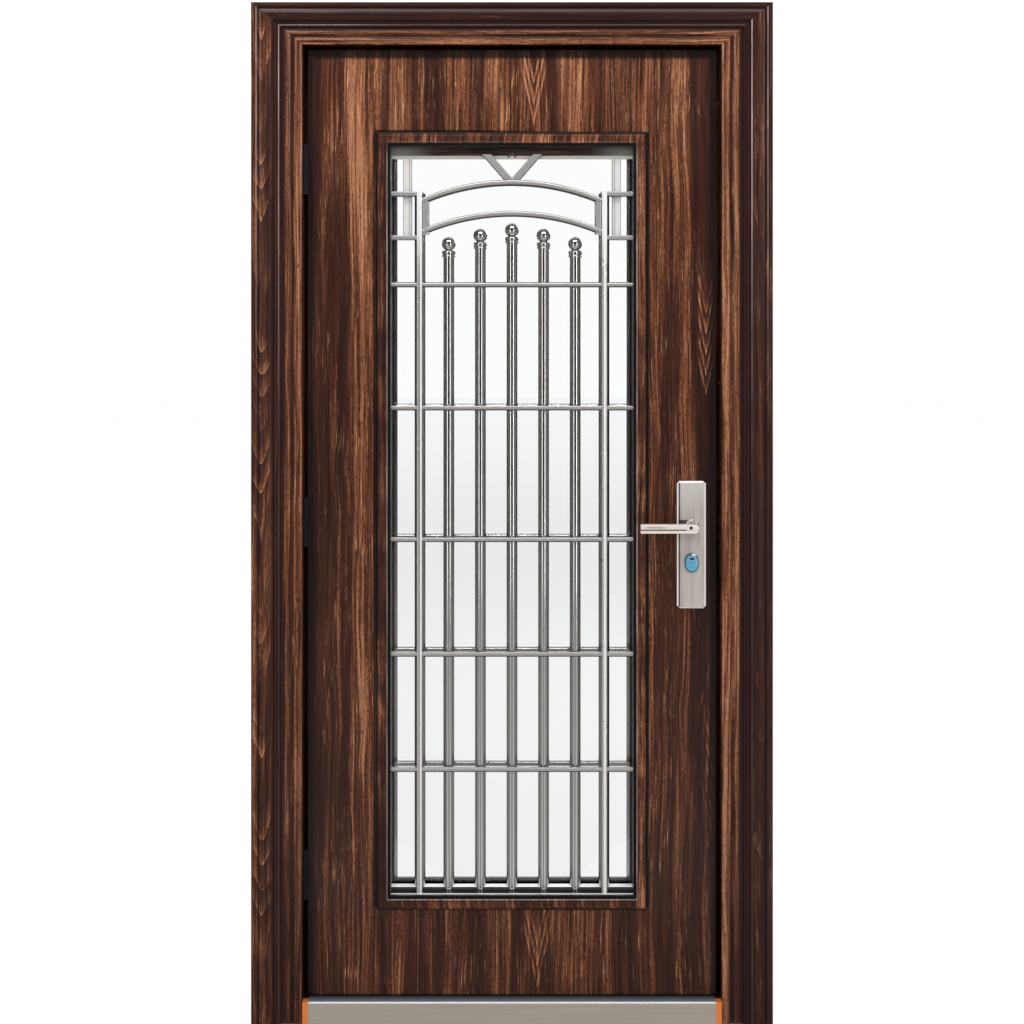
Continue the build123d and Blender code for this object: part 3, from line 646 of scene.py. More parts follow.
FINISHES = {
    "leaf_wood_print": wood_print("leaf_walnut_print", upright, leaf_streaks, leaf_figure, leaf_spray_and_shade),
    "frame_wood_print": wood_print(
        "jamb_walnut_print", upright, jamb_streaks, jamb_flames, lines=jamb_highlights, maroon=0.6, pale=0.5),
    "trim_wood_print": wood_print(
        "trim_walnut_print", upright, trim_streaks, shade=trim_foot_shadow, lines=trim_edge_highlight, maroon=0.5),
    "polished_steel": steel("polished_stainless", (206, 205, 204), 0.10),
    "grille_steel": steel("satin_stainless", (190, 187, 184), 0.27, metal=0.66, marks=bar_shade_and_highlights),
    "satin_nickel": steel("brushed_nickel", (198, 190, 182), 0.30, grain=(900.0, 900.0, 12.0)),
    "zinc_steel": steel("zinc_plate", (176, 178, 180), 0.34, patch=0.2),
    "dark_steel": steel("dark_steel", (20, 17, 16), 0.60, patch=0.2, metal=0.3),
    "threshold_steel": steel(
        "sill_stainless", (190, 180, 168), 0.34, grain=(6.0, 500.0, 500.0), metal=0.55, marks=sill_marks),
    "cylinder_brass": steel("cylinder_brass", (190, 160, 100), 0.28),
    "black_rubber": plain("black_rubber", (11, 10, 10), 0.60, shine=0.15),
    "blue_cover": plain("blue_plastic", (80, 142, 172), 0.28, coat=0.3, shine=0.35, marks=cover_marks),
    "orange_end": plain("orange_plastic", (200, 110, 48), 0.42, marks=end_marks),
    "filler": plain("core_board", (150, 128, 98), 0.85, spread=0.3),
    "pane_glass": clear_glass(),
}
head_wood = wood_print("head_walnut_print", level, head_streaks, lines=head_highlights, maroon=0.6, pale=0.6)
post_steel = steel("bright_stainless", (204, 203, 200), 0.13, rim=0.35)
back_steel = steel("polished_bars", (168, 166, 163), 0.16, marks=back_marks)
rail_steel = steel("rail_reflection_steel", (150, 152, 144), 0.24, metal=0.55, marks=rail_reflections)
lining_steel = steel("lining_stainless", (178, 177, 174), 0.24, metal=0.85, marks=lining_marks)
plate_nickel = steel("brushed_plate", (226, 217, 210), 0.30, grain=(900.0, 900.0, 12.0), marks=plate_marks)
tube_steel = steel("bright_tube", (226, 225, 223), 0.26, metal=0.40, marks=tube_marks)
# Dark grey and rough for the lock's bolts and plates: painted shade in the gap round the leaf
bolt_steel = steel("bolt_steel", (70, 66, 64), 0.60, patch=0.15)
lever_nickel = steel("satin_nickel_bar", (236, 227, 220), 0.22, metal=0.42, marks=lever_reflections)
weld_steel = steel("weld_steel", (150, 146, 138), 0.38, patch=0.3)
# A dark grey steel whose darkness is a painted dark reflection, for the low bar and the rail's boss
base_steel = steel("low_bar_steel", (84, 80, 78), 0.30, metal=0.7, marks=base_marks)

OWN_FINISHES = {
    "frame_head": head_wood, "lock_bolts": bolt_steel, "strike_plates": bolt_steel, "lock_face_plates": bolt_steel,
    "window_lining": lining_steel, "grille_posts": post_steel, "grille_side_posts": post_steel,
    "grille_finials": post_steel, "lock_plate_outside": plate_nickel, "lock_plate_inside": plate_nickel,
    "key_cover_pin": FINISHES["blue_cover"],
}
for name, node in nodes.items():
    slot = node.data.materials[0].name.split(".")[0]
    node.material_slots[0].material = OWN_FINISHES.get(name, FINISHES[slot])


# Shapes

def eased(points, radius, run_steps=3):
    """A closed outline through (a, b, bulge) points. Each corner becomes a quadratic curve that leaves its two runs
    up to radius from the corner; each run is a parabola that stands off its chord by the bulge of its end."""
    data = np.array([(*p, 0.0)[:3] for p in points], float)
    corner, bulge = data[:, :2], np.roll(data[:, 2], -1)
    after = np.roll(corner, -1, 0) - corner
    length = np.linalg.norm(after, axis=1)
    ahead = after / length[:, None]
    reach = np.minimum(radius, 0.4 * np.minimum(length, np.roll(length, 1)))
    leave = corner + ahead * reach[:, None]
    enter = corner - np.roll(ahead, 1, 0) * reach[:, None]
    s = np.linspace(0.0, 1.0, 5)[None, :, None]
    turns = (1 - s) ** 2 * enter[:, None] + 2 * s * (1 - s) * corner[:, None] + s ** 2 * leave[:, None]
    t = np.linspace(0.0, 1.0, run_steps + 2)[None, 1:-1, None]
    off = np.stack([ahead[:, 1], -ahead[:, 0]], 1) * bulge[:, None]
    end = np.roll(enter, -1, 0)
    runs = leave[:, None] + (end - leave)[:, None] * t + off[:, None] * 4 * t * (1 - t)
    return np.concatenate([turns, runs], 1).reshape(-1, 2)


def swept(section, origins, across, out):
    """Rows of points: each row is its origin plus the section's first number along across and second along out."""
    origins, across, out = (np.array(v, float).reshape(-1, 1, 3) for v in (origins, across, out))
    return origins + section[None, :, :1] * across + section[None, :, 1:] * out


def turned(profile, centre, axis, start, columns=48, petals=0, petal=None):
    """A surface of revolution: each (radius, height) row goes round the axis. With petals, a row's radius also
    swings by its own petal share, that many times in a turn."""
    profile = np.array(profile, float)
    axis = np.array(axis, float)
    side = np.array(start, float)
    other = np.cross(axis, side)
    angle = np.linspace(0.0, 2 * math.pi, columns, endpoint=False)
    radius = profile[:, :1] * np.ones(columns)
    if petals:
        radius = radius * (1 + np.array(petal)[:, None] * np.cos(petals * angle))
    ring = np.cos(angle)[:, None] * side + np.sin(angle)[:, None] * other
    return np.array(centre, float) + radius[:, :, None] * ring[None] + profile[:, 1, None, None] * axis


CRISP = 38.0


def piece(name, grids, body, slot, replaces=(), material=None, loop=False, crisp=CRISP):
    """One piece from closed surfaces, in its slot's finish unless it has its own. Each grid's columns close on
    themselves; its first and last rows are capped, or joined to each other with loop. Doubles are merged and the
    faces turned outwards."""
    points, faces, base = [], [], 0
    for grid in grids:
        rows, columns = grid.shape[:2]
        at = np.arange(rows * columns).reshape(rows, columns) + base
        if loop:
            at = np.vstack([at, at[:1]])
        near, far = at[:-1], at[1:]
        quads = np.stack([near, np.roll(near, -1, 1), np.roll(far, -1, 1), far], -1).reshape(-1, 4)
        faces += quads.tolist()
        if not loop:
            faces += [at[0][::-1].tolist(), at[-1].tolist()]
        points.append(grid.reshape(-1, 3))
        base += rows * columns
    mesh = bpy.data.meshes.new(name)
    mesh.from_pydata(np.concatenate(points).tolist(), [], faces)
    work = bmesh.new()
    work.from_mesh(mesh)
    bmesh.ops.remove_doubles(work, verts=work.verts, dist=1e-6)
    bmesh.ops.dissolve_degenerate(work, edges=work.edges, dist=1e-7)
    bmesh.ops.recalc_face_normals(work, faces=work.faces)
    work.to_mesh(mesh)
    work.free()
    shape = bpy.data.objects.new(name, mesh)
    bpy.context.scene.collection.objects.link(shape)
    mesh.materials.append(material or FINISHES[slot])
    smooth(shape, crisp)
    if replaces:
        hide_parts(*replaces)
    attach(shape, body)
    return shape


def smooth(shape, crisp):
    """Smooth shading up to the crisp angle, with flats kept flat."""
    shape.data.shade_smooth()
    shape.data.set_sharp_from_angle(angle=math.radians(crisp))
    even = shape.modifiers.new("even", "WEIGHTED_NORMAL")
    even.keep_sharp = True


def cut(shape, grids):
    """Takes closed cutter surfaces out of a closed piece, and keeps the result as its mesh."""
    cutter = piece(shape.name + "_cutter", grids, "frame", "filler")
    shape.modifiers.clear()
    knife = shape.modifiers.new("cut", "BOOLEAN")
    knife.operation = "DIFFERENCE"
    knife.solver = "EXACT"
    knife.object = cutter
    graph = bpy.context.evaluated_depsgraph_get()
    shape.data = bpy.data.meshes.new_from_object(shape.evaluated_get(graph))
    shape.modifiers.clear()
    bpy.data.objects.remove(cutter)
    smooth(shape, CRISP)


def rect(wide, high, radius, x=0.0, y=0.0):
    """An eased rectangle, centred at x and y."""
    w, h = wide / 2, high / 2
    return eased([(x - w, y - h), (x + w, y - h), (x + w, y + h), (x - w, y + h)], radius, run_steps=0)


def box_grid(low, high):
    """A plain box as two rows of four corners."""
    (x0, y0, z0), (x1, y1, z1) = low, high
    ring = np.array([(x0, y0), (x1, y0), (x1, y1), (x0, y1)])
    return np.stack([np.column_stack([ring, np.full(4, z)]) for z in (z0, z1)])


def bar_grid(start, end, wide, y0, y1, ease=0.0022):
    """A straight bar in an upright plane between two (x, z) points, wide across and from y0 to y1 deep."""
    start, end = np.array(start, float), np.array(end, float)
    way = (end - start) / np.linalg.norm(end - start)
    section = rect(wide, y1 - y0, ease)
    middle = (y0 + y1) / 2
    origins = [(start[0], middle, start[1]), (end[0], middle, end[1])]
    return swept(section, origins, (way[1], 0.0, -way[0]), (0.0, 1.0, 0.0))


def bar_pair(start, end, *sizes):
    """A bar between two (x, z) points and its mirror image on the door's left side."""
    (x0, z0), (x1, z1) = start, end
    return [bar_grid((s * x0, z0), (s * x1, z1), *sizes) for s in (-1, 1)]


def arc_grid(half, low, rise, wide, y0, y1, ease=0.0048, rows=49):
    """A bar along a circle's arc through (-half, low), (0, low + rise) and (half, low)."""
    radius = (half ** 2 + rise ** 2) / (2 * rise)
    limit = math.asin(half / radius)
    angle = np.linspace(-limit, limit, rows)
    out = np.column_stack([np.sin(angle), np.zeros(rows), np.cos(angle)])
    origins = out * radius + np.array([0.0, (y0 + y1) / 2, low + rise - radius])
    return swept(rect(wide, y1 - y0, ease), origins, out, (0.0, 1.0, 0.0))


# Frame

def mm(points):
    """Points given in mm, in metres."""
    return [tuple(v * MM for v in point) for point in points]


# The rolled sheet in mm: width from the outer edge, depth behind the crest, and the bulge of the run to the point
FRAME_FACE = [
    (15.0, 30.0), (0.0, 30.0), (0.0, 4.0), (8.0, 4.0), (11.4, 4.0, 1.7), (12.2, 7.0), (15.0, 7.0), (16.5, 3.4),
    (29.0, 0.9, 0.8), (32.0, 0.9, 0.9), (43.0, 5.0, 0.8), (52.0, 12.0, -2.0), (53.5, 10.0), (58.2, 10.0, 0.7),
    (59.2, 15.0), (65.0, 15.0), (66.0, 14.0), (74.6, 14.0), (78.4, 14.0, 1.6), (79.2, 16.5), (82.8, 16.5),
    (84.0, 14.0), (101.5, 14.0), (101.5, 93.0), (123.5, 93.0), (123.5, 120.0), (62.0, 120.0), (62.0, 105.0),
]
FRAME_REAR = [
    (64.0, 105.0), (64.0, 118.0), (121.5, 118.0), (121.5, 95.0), (99.5, 95.0), (99.5, 16.0), (85.2, 16.0),
    (84.0, 18.5), (77.6, 18.5), (77.0, 16.2), (66.9, 16.2), (65.9, 17.0), (57.4, 17.0), (56.6, 12.2), (54.3, 12.2),
    (51.6, 15.0), (41.8, 7.0, 2.0), (31.5, 3.0), (29.6, 3.0), (18.0, 5.4), (16.6, 9.0), (10.7, 9.0), (9.9, 6.0),
    (2.0, 6.0), (2.0, 28.0), (15.0, 28.0),
]
HEAD_SCALE = HEAD_FACE / JAMB_FACE
REVEAL_CORNER = 22
REVEAL_X = 0.421
ANCHOR_HEIGHTS = (0.150, 0.71667, 1.28333, 1.850)
HINGE_HEIGHTS = (0.2905, 1.00325, 1.716)
LOCK_POINTS = ((0.450, 0.110), (0.960, 0.250), (1.500, 0.110))
EDGE_MIDDLE_Y = 0.0015


def make_frame():
    """Two jambs and a head in the rolled section, mitred along the line where the head's narrower widths meet."""
    ease = np.full(len(FRAME_FACE) + len(FRAME_REAR), 1.0 * MM)
    ease[REVEAL_CORNER] = 3.0 * MM
    section = eased(mm(FRAME_FACE + FRAME_REAR), ease)
    left, right = [
        [((side * FRAME_HALF, FRAME_FRONT, 0.0), (-side, 0.0, 0.0)),
         ((side * FRAME_HALF, FRAME_FRONT, FRAME_TOP), (-side, 0.0, -HEAD_SCALE))] for side in (-1, 1)]
    made = []
    for node, ends, wood in (
        ("jamb_left", left, None), ("jamb_right", right, None), ("frame_head", (left[1], right[1]), head_wood),
    ):
        sheet = swept(section, *zip(*ends), (0.0, 1.0, 0.0))
        made.append(piece(node + "_sheet", [sheet], "frame", "frame_wood_print", [node], wood))
    slots = [box_grid((-0.425, -0.0415, z - 0.052), (-0.420, -0.013, z + 0.052)) for z in HINGE_HEIGHTS]
    strikes = [
        box_grid((0.420, EDGE_MIDDLE_Y - 0.012, z - tall / 2), (0.4245, EDGE_MIDDLE_Y + 0.012, z + tall / 2))
        for z, tall in LOCK_POINTS]
    bore = [(6 * MM, 0), (6 * MM, 0.008)]
    for jamb, side, pockets in ((made[0], -1, slots), (made[1], 1, strikes)):
        holes = [
            turned(bore, (side * (REVEAL_X - 0.004), 0.008, z), (side, 0, 0), (0, 1, 0), 32)
            for z in ANCHOR_HEIGHTS]
        cut(jamb, holes + pockets)


def make_seal():
    """A hollow-looking bulb seal: a flat foot with half an ellipse on it, in four strips on the stop."""
    angle = np.linspace(0.0, math.pi, 15)
    bulb = np.column_stack([4.0 + 3.0 * np.cos(angle), 1.1 + 1.9 * np.sin(angle)])
    section = np.vstack([[(0.0, 0.0), (8.0, 0.0), (8.0, 0.9)], bulb, [(0.0, 0.9)]]) * MM
    x, y, low, high, end = 0.400, 0.033, 0.055, 1.9488, 1.9568
    strips = [swept(section, [(s * x, y, low), (s * x, y, end)], (s, 0, 0), (0, -1, 0)) for s in (-1, 1)]
    x -= 0.4 * MM
    strips += [swept(section, [(-x, y, z), (x, y, z)], (0, 0, 1), (0, -1, 0)) for z in (high, low)]
    piece("stop_seal", strips, "frame", "black_rubber", ["frame_seal"])


def make_threshold():
    """A folded sheet over the sill: the tread between the reveals and the riser between the stops."""
    tread = [(-47, 0), (-47, 44), (33, 44), (33, 42.5), (-45.5, 42.5), (-45.5, 0)]
    riser = [(33, 42.5), (33, 64), (60, 64), (60, 0), (58.5, 0), (58.5, 62.5), (34.5, 62.5), (34.5, 42.5)]
    grids = []
    for points, half in ((tread, 0.4095), (riser, 0.399)):
        section = eased(mm(points), 1.2 * MM)
        grids.append(swept(section, [(-half, 0, 0), (half, 0, 0)], (0, 1, 0), (0, 0, 1)))
    piece("threshold_sheet", grids, "frame", "threshold_steel", ["threshold_cover"])


SCREW_ROWS = [(0.55, -0.9), (0.62, -0.1), (2.0, 0.25), (3.3, 0.1), (3.8, -0.3), (3.8, -0.8)]


def screw_grid(place, axis, size=1.0):
    """A countersunk head with a four-armed recess, its rim at place."""
    start = (0, 0, 1) if abs(axis[2]) < 0.5 else (1, 0, 0)
    rows = [(r * size * MM, h * size * MM) for r, h in SCREW_ROWS]
    return turned(rows, place, axis, start, 32, 4, [0.45, 0.45, 0.0, 0.0, 0.0, 0.0])


def plate_screws(x, way):
    """The screws at both ends of each lock point's plate, which faces way along X."""
    places = [(x, EDGE_MIDDLE_Y, z + end * (tall / 2 - 9.0 * MM)) for z, tall in LOCK_POINTS for end in (-1, 1)]
    return [screw_grid(place, (way, 0, 0)) for place in places]


def make_frame_screws():
    """Screws at the ends of each strike plate, dark as painted shade in the gap round the leaf."""
    piece("strike_plate_screws", plate_screws(REVEAL_X - 0.1 * MM, -1), "frame", "dark_steel")


# Leaf

TRIM_SECTION = [
    (0.0, 0.0), (0.0, 5.5), (1.2, 6.8), (3.0, 6.8, 0.3), (4.2, 6.0), (14.0, 7.2, 0.4), (15.0, 8.0),
    (19.0, 8.0, 0.5), (22.0, 4.0, 0.8), (22.0, 0.0),
]
LEAF_FRONT = -0.022
LEAF_BACK = 0.050
LINING_HALF = 0.245
LINING_LOW = 0.250
LINING_HIGH = 1.763


def make_trims():
    """Four mitred strips round each side of the window, each one profile run between two mitre planes."""
    section = eased(mm(TRIM_SECTION), 0.5 * MM)
    gap = 0.15 * MM
    for side, face_y, way in (("front", LEAF_FRONT, -1.0), ("back", LEAF_BACK, 1.0)):
        out = (0.0, way, 0.0)
        x, low, high = WINDOW_HALF, WINDOW_LOW, WINDOW_HIGH
        strips = [
            swept(section, [(gap - x, face_y, z), (x - gap, face_y, z)], [(-1, 0, s), (1, 0, s)], out)
            for z, s in ((high, 1), (low, -1))]
        strips += [
            swept(section, [(s * x, face_y, low + gap), (s * x, face_y, high - gap)], [(s, 0, -1), (s, 0, 1)], out)
            for s in (-1, 1)]
        name = "window_trim_" + side
        piece(name + "_strips", strips, "leaf", "trim_wood_print", [name])


def ring_grid(section, half, low, high, face_y, way):
    """A section run round the window's four corners, its first number outwards and its second off the face."""
    corners = [(-half, face_y, low), (half, face_y, low), (half, face_y, high), (-half, face_y, high)]
    return swept(section, corners, [(-1, 0, -1), (1, 0, -1), (1, 0, 1), (-1, 0, 1)], (0.0, way, 0.0))


def make_gaskets():
    """A black lipped gasket between the trim and the lining on each side, and a bead round the pane's back."""
    lip = eased(mm([(0.2, 1.5), (0.2, 3.6), (1.4, 4.6), (3.0, 4.2), (4.6, 4.9), (5.8, 4.9), (5.8, 1.5)]), 0.5 * MM)
    for side, face_y, way in (("front", LEAF_FRONT, -1.0), ("back", LEAF_BACK, 1.0)):
        grid = ring_grid(lip, LINING_HALF, LINING_LOW, LINING_HIGH, face_y, way)
        piece("window_gasket_" + side, [grid], "leaf", "black_rubber", loop=True)
    bead = rect(0.0040, 0.0046, 0.0006, -0.0021, 0.0024)
    grid = ring_grid(bead, LINING_HALF, LINING_LOW, LINING_HIGH, 0.0316, 1.0)
    piece("pane_gasket_back", [grid], "leaf", "black_rubber", loop=True)


SHORT_LOW, SHORT_HIGH = 1.578, 1.667
CROSS_SHARES = (0.188, 0.364, 0.539, 0.740, 0.928)
CROSS_HEIGHTS = [LINING_LOW + share * (SHORT_LOW - LINING_LOW) for share in CROSS_SHARES]
POST_XS = (-0.1288, -0.0644, 0.0, 0.0644, 0.1288)
POST_Y = 0.0102
UPRIGHT_WIDE = 0.012
CROSS_WIDE = 0.010
ARCH_DROPS = (0.173, 0.110)
ARCH_RISE = 0.037


def make_lattice(side, y0, y1, bordered=False, metal=None):
    """The square bars of one side: uprights, crossbars, short bars, arches and vee, as welded lengths."""
    half = LINING_HALF - (0.0045 if bordered else 0.0)
    inset = 0.4 * MM
    bars = bar_pair((UPRIGHT_X, LINING_LOW), (UPRIGHT_X, SHORT_HIGH + 0.005), UPRIGHT_WIDE, y0, y1)
    bars += [bar_grid((-half, z), (half, z), CROSS_WIDE, y0 + inset, y1 - inset, 0.0040) for z in CROSS_HEIGHTS]
    for z in (SHORT_LOW, SHORT_HIGH):
        bars += bar_pair((UPRIGHT_X, z), (half, z), CROSS_WIDE, y0 + inset, y1 - inset)
    if bordered:
        slim = 0.68
        x, low, high = half + 0.002 - 0.0055 * slim, LINING_LOW + 0.010, LINING_HIGH - 0.010
        corners = ((-1, low), (1, low), (1, high), (-1, high))
        across = [(-slim, 0, -1), (slim, 0, -1), (slim, 0, 1), (-slim, 0, 1)]
        origins = [(s * x, (y0 + y1) / 2, z) for s, z in corners]
        ring = swept(rect(0.011, y1 - y0, 0.0012), origins, across, (0, 1, 0))
        piece(side + "_border_bars", [ring], "leaf", "grille_steel", material=metal, loop=True)
    piece(side + "_lattice_bars", bars, "leaf", "grille_steel", [side + "_lattice"], metal)
    span = UPRIGHT_X - UPRIGHT_WIDE / 2
    arcs = [arc_grid(span, LINING_HIGH - drop, ARCH_RISE, UPRIGHT_WIDE, y0, y1) for drop in ARCH_DROPS]
    end_x = span - UPRIGHT_WIDE / 2
    arcs += bar_pair((end_x, 1.584), (end_x, 1.659), UPRIGHT_WIDE, y0 + inset, y1 - inset)
    piece(side + "_arch_bars", arcs, "leaf", "grille_steel", [side + "_arches"], metal)
    legs = [vee_leg(s, y0, y1) for s in (-1, 1)]
    piece(side + "_vee_bars", legs, "leaf", "grille_steel", [side + "_vee"], metal)


def vee_leg(s, y0, y1):
    """One leaning leg, cut level at its foot on the arch and at its top: the same level section at both ends."""
    low = LINING_HIGH - ARCH_DROPS[1] + UPRIGHT_WIDE / 2 + ARCH_RISE - 0.5 * MM
    top = LINING_HIGH - 15.5 * MM
    foot, wide, lean = 0.0160, 0.0195, 0.88
    origins = [(s * (foot + lean * (z - low) - wide / 2), (y0 + y1) / 2, z) for z in (low, top)]
    return swept(rect(wide, y1 - y0, 0.0030), origins, (1, 0, 0), (0, 1, 0))


def make_welds():
    """Small weld beads where each crossbar meets a post: flattened balls, above and below the bar."""
    down = np.linspace(0.15, math.pi - 0.15, 5)[:, None, None]
    round_it = np.linspace(0.0, 2 * math.pi, 8, endpoint=False)
    ring = np.stack([np.cos(round_it), np.sin(round_it)], -1)
    ball = np.concatenate([np.sin(down) * ring, np.tile(np.cos(down), (8, 1))], -1)
    bead = ball * np.array([4.2, 1.6, 1.3]) * MM
    posts = (-UPRIGHT_X, *POST_XS, UPRIGHT_X)
    beads = [
        bead + np.array([x, -0.0010, z + s * 0.0053]) for z in CROSS_HEIGHTS for x in posts for s in (-1, 1)]
    piece("crossbar_welds", beads, "leaf", "grille_steel", material=weld_steel, crisp=80.0)


FINIAL_RINGS = [
    (0.0112, 0.0), (0.0134, 0.0004), (0.0138, 0.0014), (0.0138, 0.0030), (0.0134, 0.0042), (0.0122, 0.0048),
    (0.0122, 0.0056), (0.0134, 0.0062), (0.0138, 0.0072), (0.0138, 0.0116), (0.0132, 0.0130), (0.0118, 0.0138),
]
FINIAL_NECK = [(0.0078, 0.0140), (0.0072, 0.0146)]
FINIAL_BALL = 0.0143
FINIAL_DROPS = (0.183, 0.166, 0.155, 0.166, 0.183)


def make_finials():
    """Each post's finial: a collar of two rolled rings with a groove between them, a neck and a ball."""
    ball, seat, tall = FINIAL_BALL, 0.0010, 0.014
    start = math.asin(FINIAL_NECK[-1][0] / ball)
    sweep = np.linspace(math.pi - start, 0.02, 20)[1:]
    grids = []
    for x, drop in zip(POST_XS, FINIAL_DROPS):
        centre = LINING_HIGH - drop - ball
        low = centre - ball + seat - tall
        rows = [(r, low + h) for r, h in FINIAL_RINGS + FINIAL_NECK]
        rows += [(ball * math.sin(a), centre + ball * math.cos(a)) for a in sweep]
        grids.append(turned(rows, (x, POST_Y, 0.0), (0, 0, 1), (1, 0, 0)))
    piece("post_finials", grids, "leaf", "polished_steel", ["grille_finials"], post_steel, crisp=45.0)


def make_rails():
    """Two square tubes under the ends of the top rail, the rail in its painted reflection with its small boss,
    and a low flat bar under the posts' feet, with eased edges."""
    y0, y1 = POST_Y - 0.009, POST_Y + 0.009
    tubes = bar_pair((TUBE_X, 1.575), (TUBE_X, 1.738), y1 - y0, y0, y1, 0.0018)
    piece("corner_square_tubes", tubes, "leaf", "polished_steel", ["grille_corner_tubes"], tube_steel)
    rail = bar_grid((-LINING_HALF, 1.7505), (LINING_HALF, 1.7505), 0.025, y0, y1)
    piece("top_rail_bar", [rail], "leaf", "polished_steel", ["grille_top_rail"], rail_steel)
    boss = arc_grid(0.0072, 1.7412, 0.0070, 0.0030, y0 - 0.0030, y0 + 0.0002, 0.0010, 25)
    piece("rail_boss", [boss], "leaf", "polished_steel", material=base_steel)
    base = bar_grid((-LINING_HALF, 0.2545), (LINING_HALF, 0.2545), 0.009, y0, y1)
    piece("base_flat_bar", [base], "leaf", "polished_steel", material=base_steel)


GRIP_SECTION = [
    (0.0, -9.4), (1.5, -10.9), (6.5, -10.9), (10.7, -4.0), (10.7, 6.8), (9.0, 8.7), (1.5, 8.7), (0.0, 7.2),
]
GRIP_HALF = 8.7 * MM
GRIP_DROP = 2.2 * MM
GRIP_DEPTH = 10.7 * MM
NECK_ROWS = [(11.0, 0.0), (11.3, 0.6), (11.3, 2.2), (10.6, 3.0), (9.5, 3.6), (9.4, 20.0), (9.5, 36.0), (9.5, 40.4)]
SET_SCREW_ROWS = [(3.2, -0.3), (3.2, 0.10), (2.9, 0.18), (2.4, 0.18), (2.0, 0.04), (0.3, 0.04)]


def make_lever(node, face_y, way):
    """The grip is one faceted section along X; its height is held inside a quarter round at the hub end and a
    small one at the tip. The neck is turned, with a collar at the plate."""
    root = face_y + way * 50.0 * MM
    near, far = LEVER_X - 0.106, LEVER_X + 0.010
    section = eased(mm(GRIP_SECTION), 0.7 * MM)
    turn = np.linspace(0.0, math.pi / 2, 9)
    hub, tip = 8.4 * MM, 1.5 * MM
    stations = np.concatenate([near + tip * (1 - np.cos(turn)), far - hub * (1 - np.sin(turn))])
    tip_in = tip * (1 - np.sin(turn))
    hold = np.concatenate([GRIP_HALF - tip_in, GRIP_HALF - hub * (1 - np.cos(turn))])[:, None]
    slim = np.concatenate([GRIP_DEPTH - tip_in, np.full(9, GRIP_DEPTH)])[:, None]
    height = np.clip(section[None, :, 1], -hold - GRIP_DROP, hold)
    depth = np.minimum(section[None, :, 0], slim)
    x = stations[:, None] * np.ones_like(depth)
    grip = np.stack([x, root + way * depth, LEVER_Z + height], -1)
    plate_y = face_y + way * 10.0 * MM
    neck = turned(mm(NECK_ROWS), (LEVER_X, plate_y, LEVER_Z), (0, way, 0), (1, 0, 0), 56)
    piece(node + "_handle", [grip, neck], "lever", "satin_nickel", [node], lever_nickel, crisp=30.0)
    place = (LEVER_X - 0.006, root + way * GRIP_DEPTH, LEVER_Z + 0.0015)
    screw = turned(mm(SET_SCREW_ROWS), place, (0, way, 0), (1, 0, 0), 24)
    piece(node + "_set_screw", [screw], "lever", "dark_steel")


def make_key_cover():
    """A domed pill: rings of the pill's outline shrink to its middle while the front rises."""
    edge = np.array([(0.96, 0.0), (1.0, 0.5), (1.0, 1.6), (0.985, 2.2), (0.95, 2.6)])
    dome = np.linspace(0.92, 0.01, 40)
    share = np.concatenate([edge[:, 0], dome])[:, None]
    rise = np.concatenate([edge[:, 1], 2.75 + 1.2 * (1 - (dome / 0.92) ** 2)])[:, None] * MM
    angle = np.linspace(0.0, 2 * math.pi, 112, endpoint=False)
    round_half, straight_half, plate_y = 0.014, 0.005, -0.0335
    x = share * round_half * np.cos(angle)
    z = share * (round_half * np.sin(angle) + straight_half * np.clip(np.sin(angle) * 3, -1, 1))
    grid = np.stack([LEVER_X + x, plate_y - rise * np.ones(len(angle)), KEY_COVER_Z + z], -1)
    piece("key_cover_cap", [grid], "key_cover", "blue_cover", ["key_cover"], crisp=50.0)


def make_leaf_screws():
    """Screws in the face plates of the lock and in the hinge plates."""
    # The face plate screws are dark steel, painted shade in the gap round the leaf
    piece("face_plate_screws", plate_screws(LEAF_HALF + 0.1 * MM, 1), "leaf", "dark_steel")
    hinge = [
        screw_grid((-LEAF_HALF - 0.1 * MM, 0.0060, z + step), (-1, 0, 0), 0.9)
        for z in HINGE_HEIGHTS for step in (-0.036, 0.0, 0.036)]
    piece("hinge_plate_screws", hinge, "leaf", "zinc_steel")


make_frame()
make_seal()
make_threshold()
make_frame_screws()
make_trims()
make_gaskets()
make_lattice("front", -0.012, -0.001)
make_lattice("back", 0.032, 0.043, True, back_steel)
make_welds()
make_finials()
make_rails()
make_lever("lever_outside", LEAF_FRONT, -1.0)
make_lever("lever_inside", LEAF_BACK, 1.0)
make_key_cover()
make_leaf_screws()


# Studio

WHITE = (1.0, 1.0, 1.0, 1.0)
BLACK = (0.0, 0.0, 0.0, 1.0)


def make_world():
    """White to look at, and a soft even light on things."""
    world = bpy.data.worlds.new("studio")
    bpy.context.scene.world = world
    sky = Finish(world)
    seen = sky.ray("Is Camera Ray", "Is Glossy Ray", "Is Transmission Ray")
    strength = sky.node("MapRange", {"Value": seen, "To Min": 0.42, "To Max": 1.06}).outputs[0]
    sky.set(Color=WHITE, Strength=strength)


def make_flat(name, corners, paint):
    """A flat of four corners that is part of the studio."""
    mesh = bpy.data.meshes.new(name)
    mesh.from_pydata(corners, [], [(0, 1, 2, 3)])
    mesh.materials.append(paint.home)
    flat = bpy.data.objects.new(name, mesh)
    bpy.context.scene.collection.objects.link(flat)
    return flat


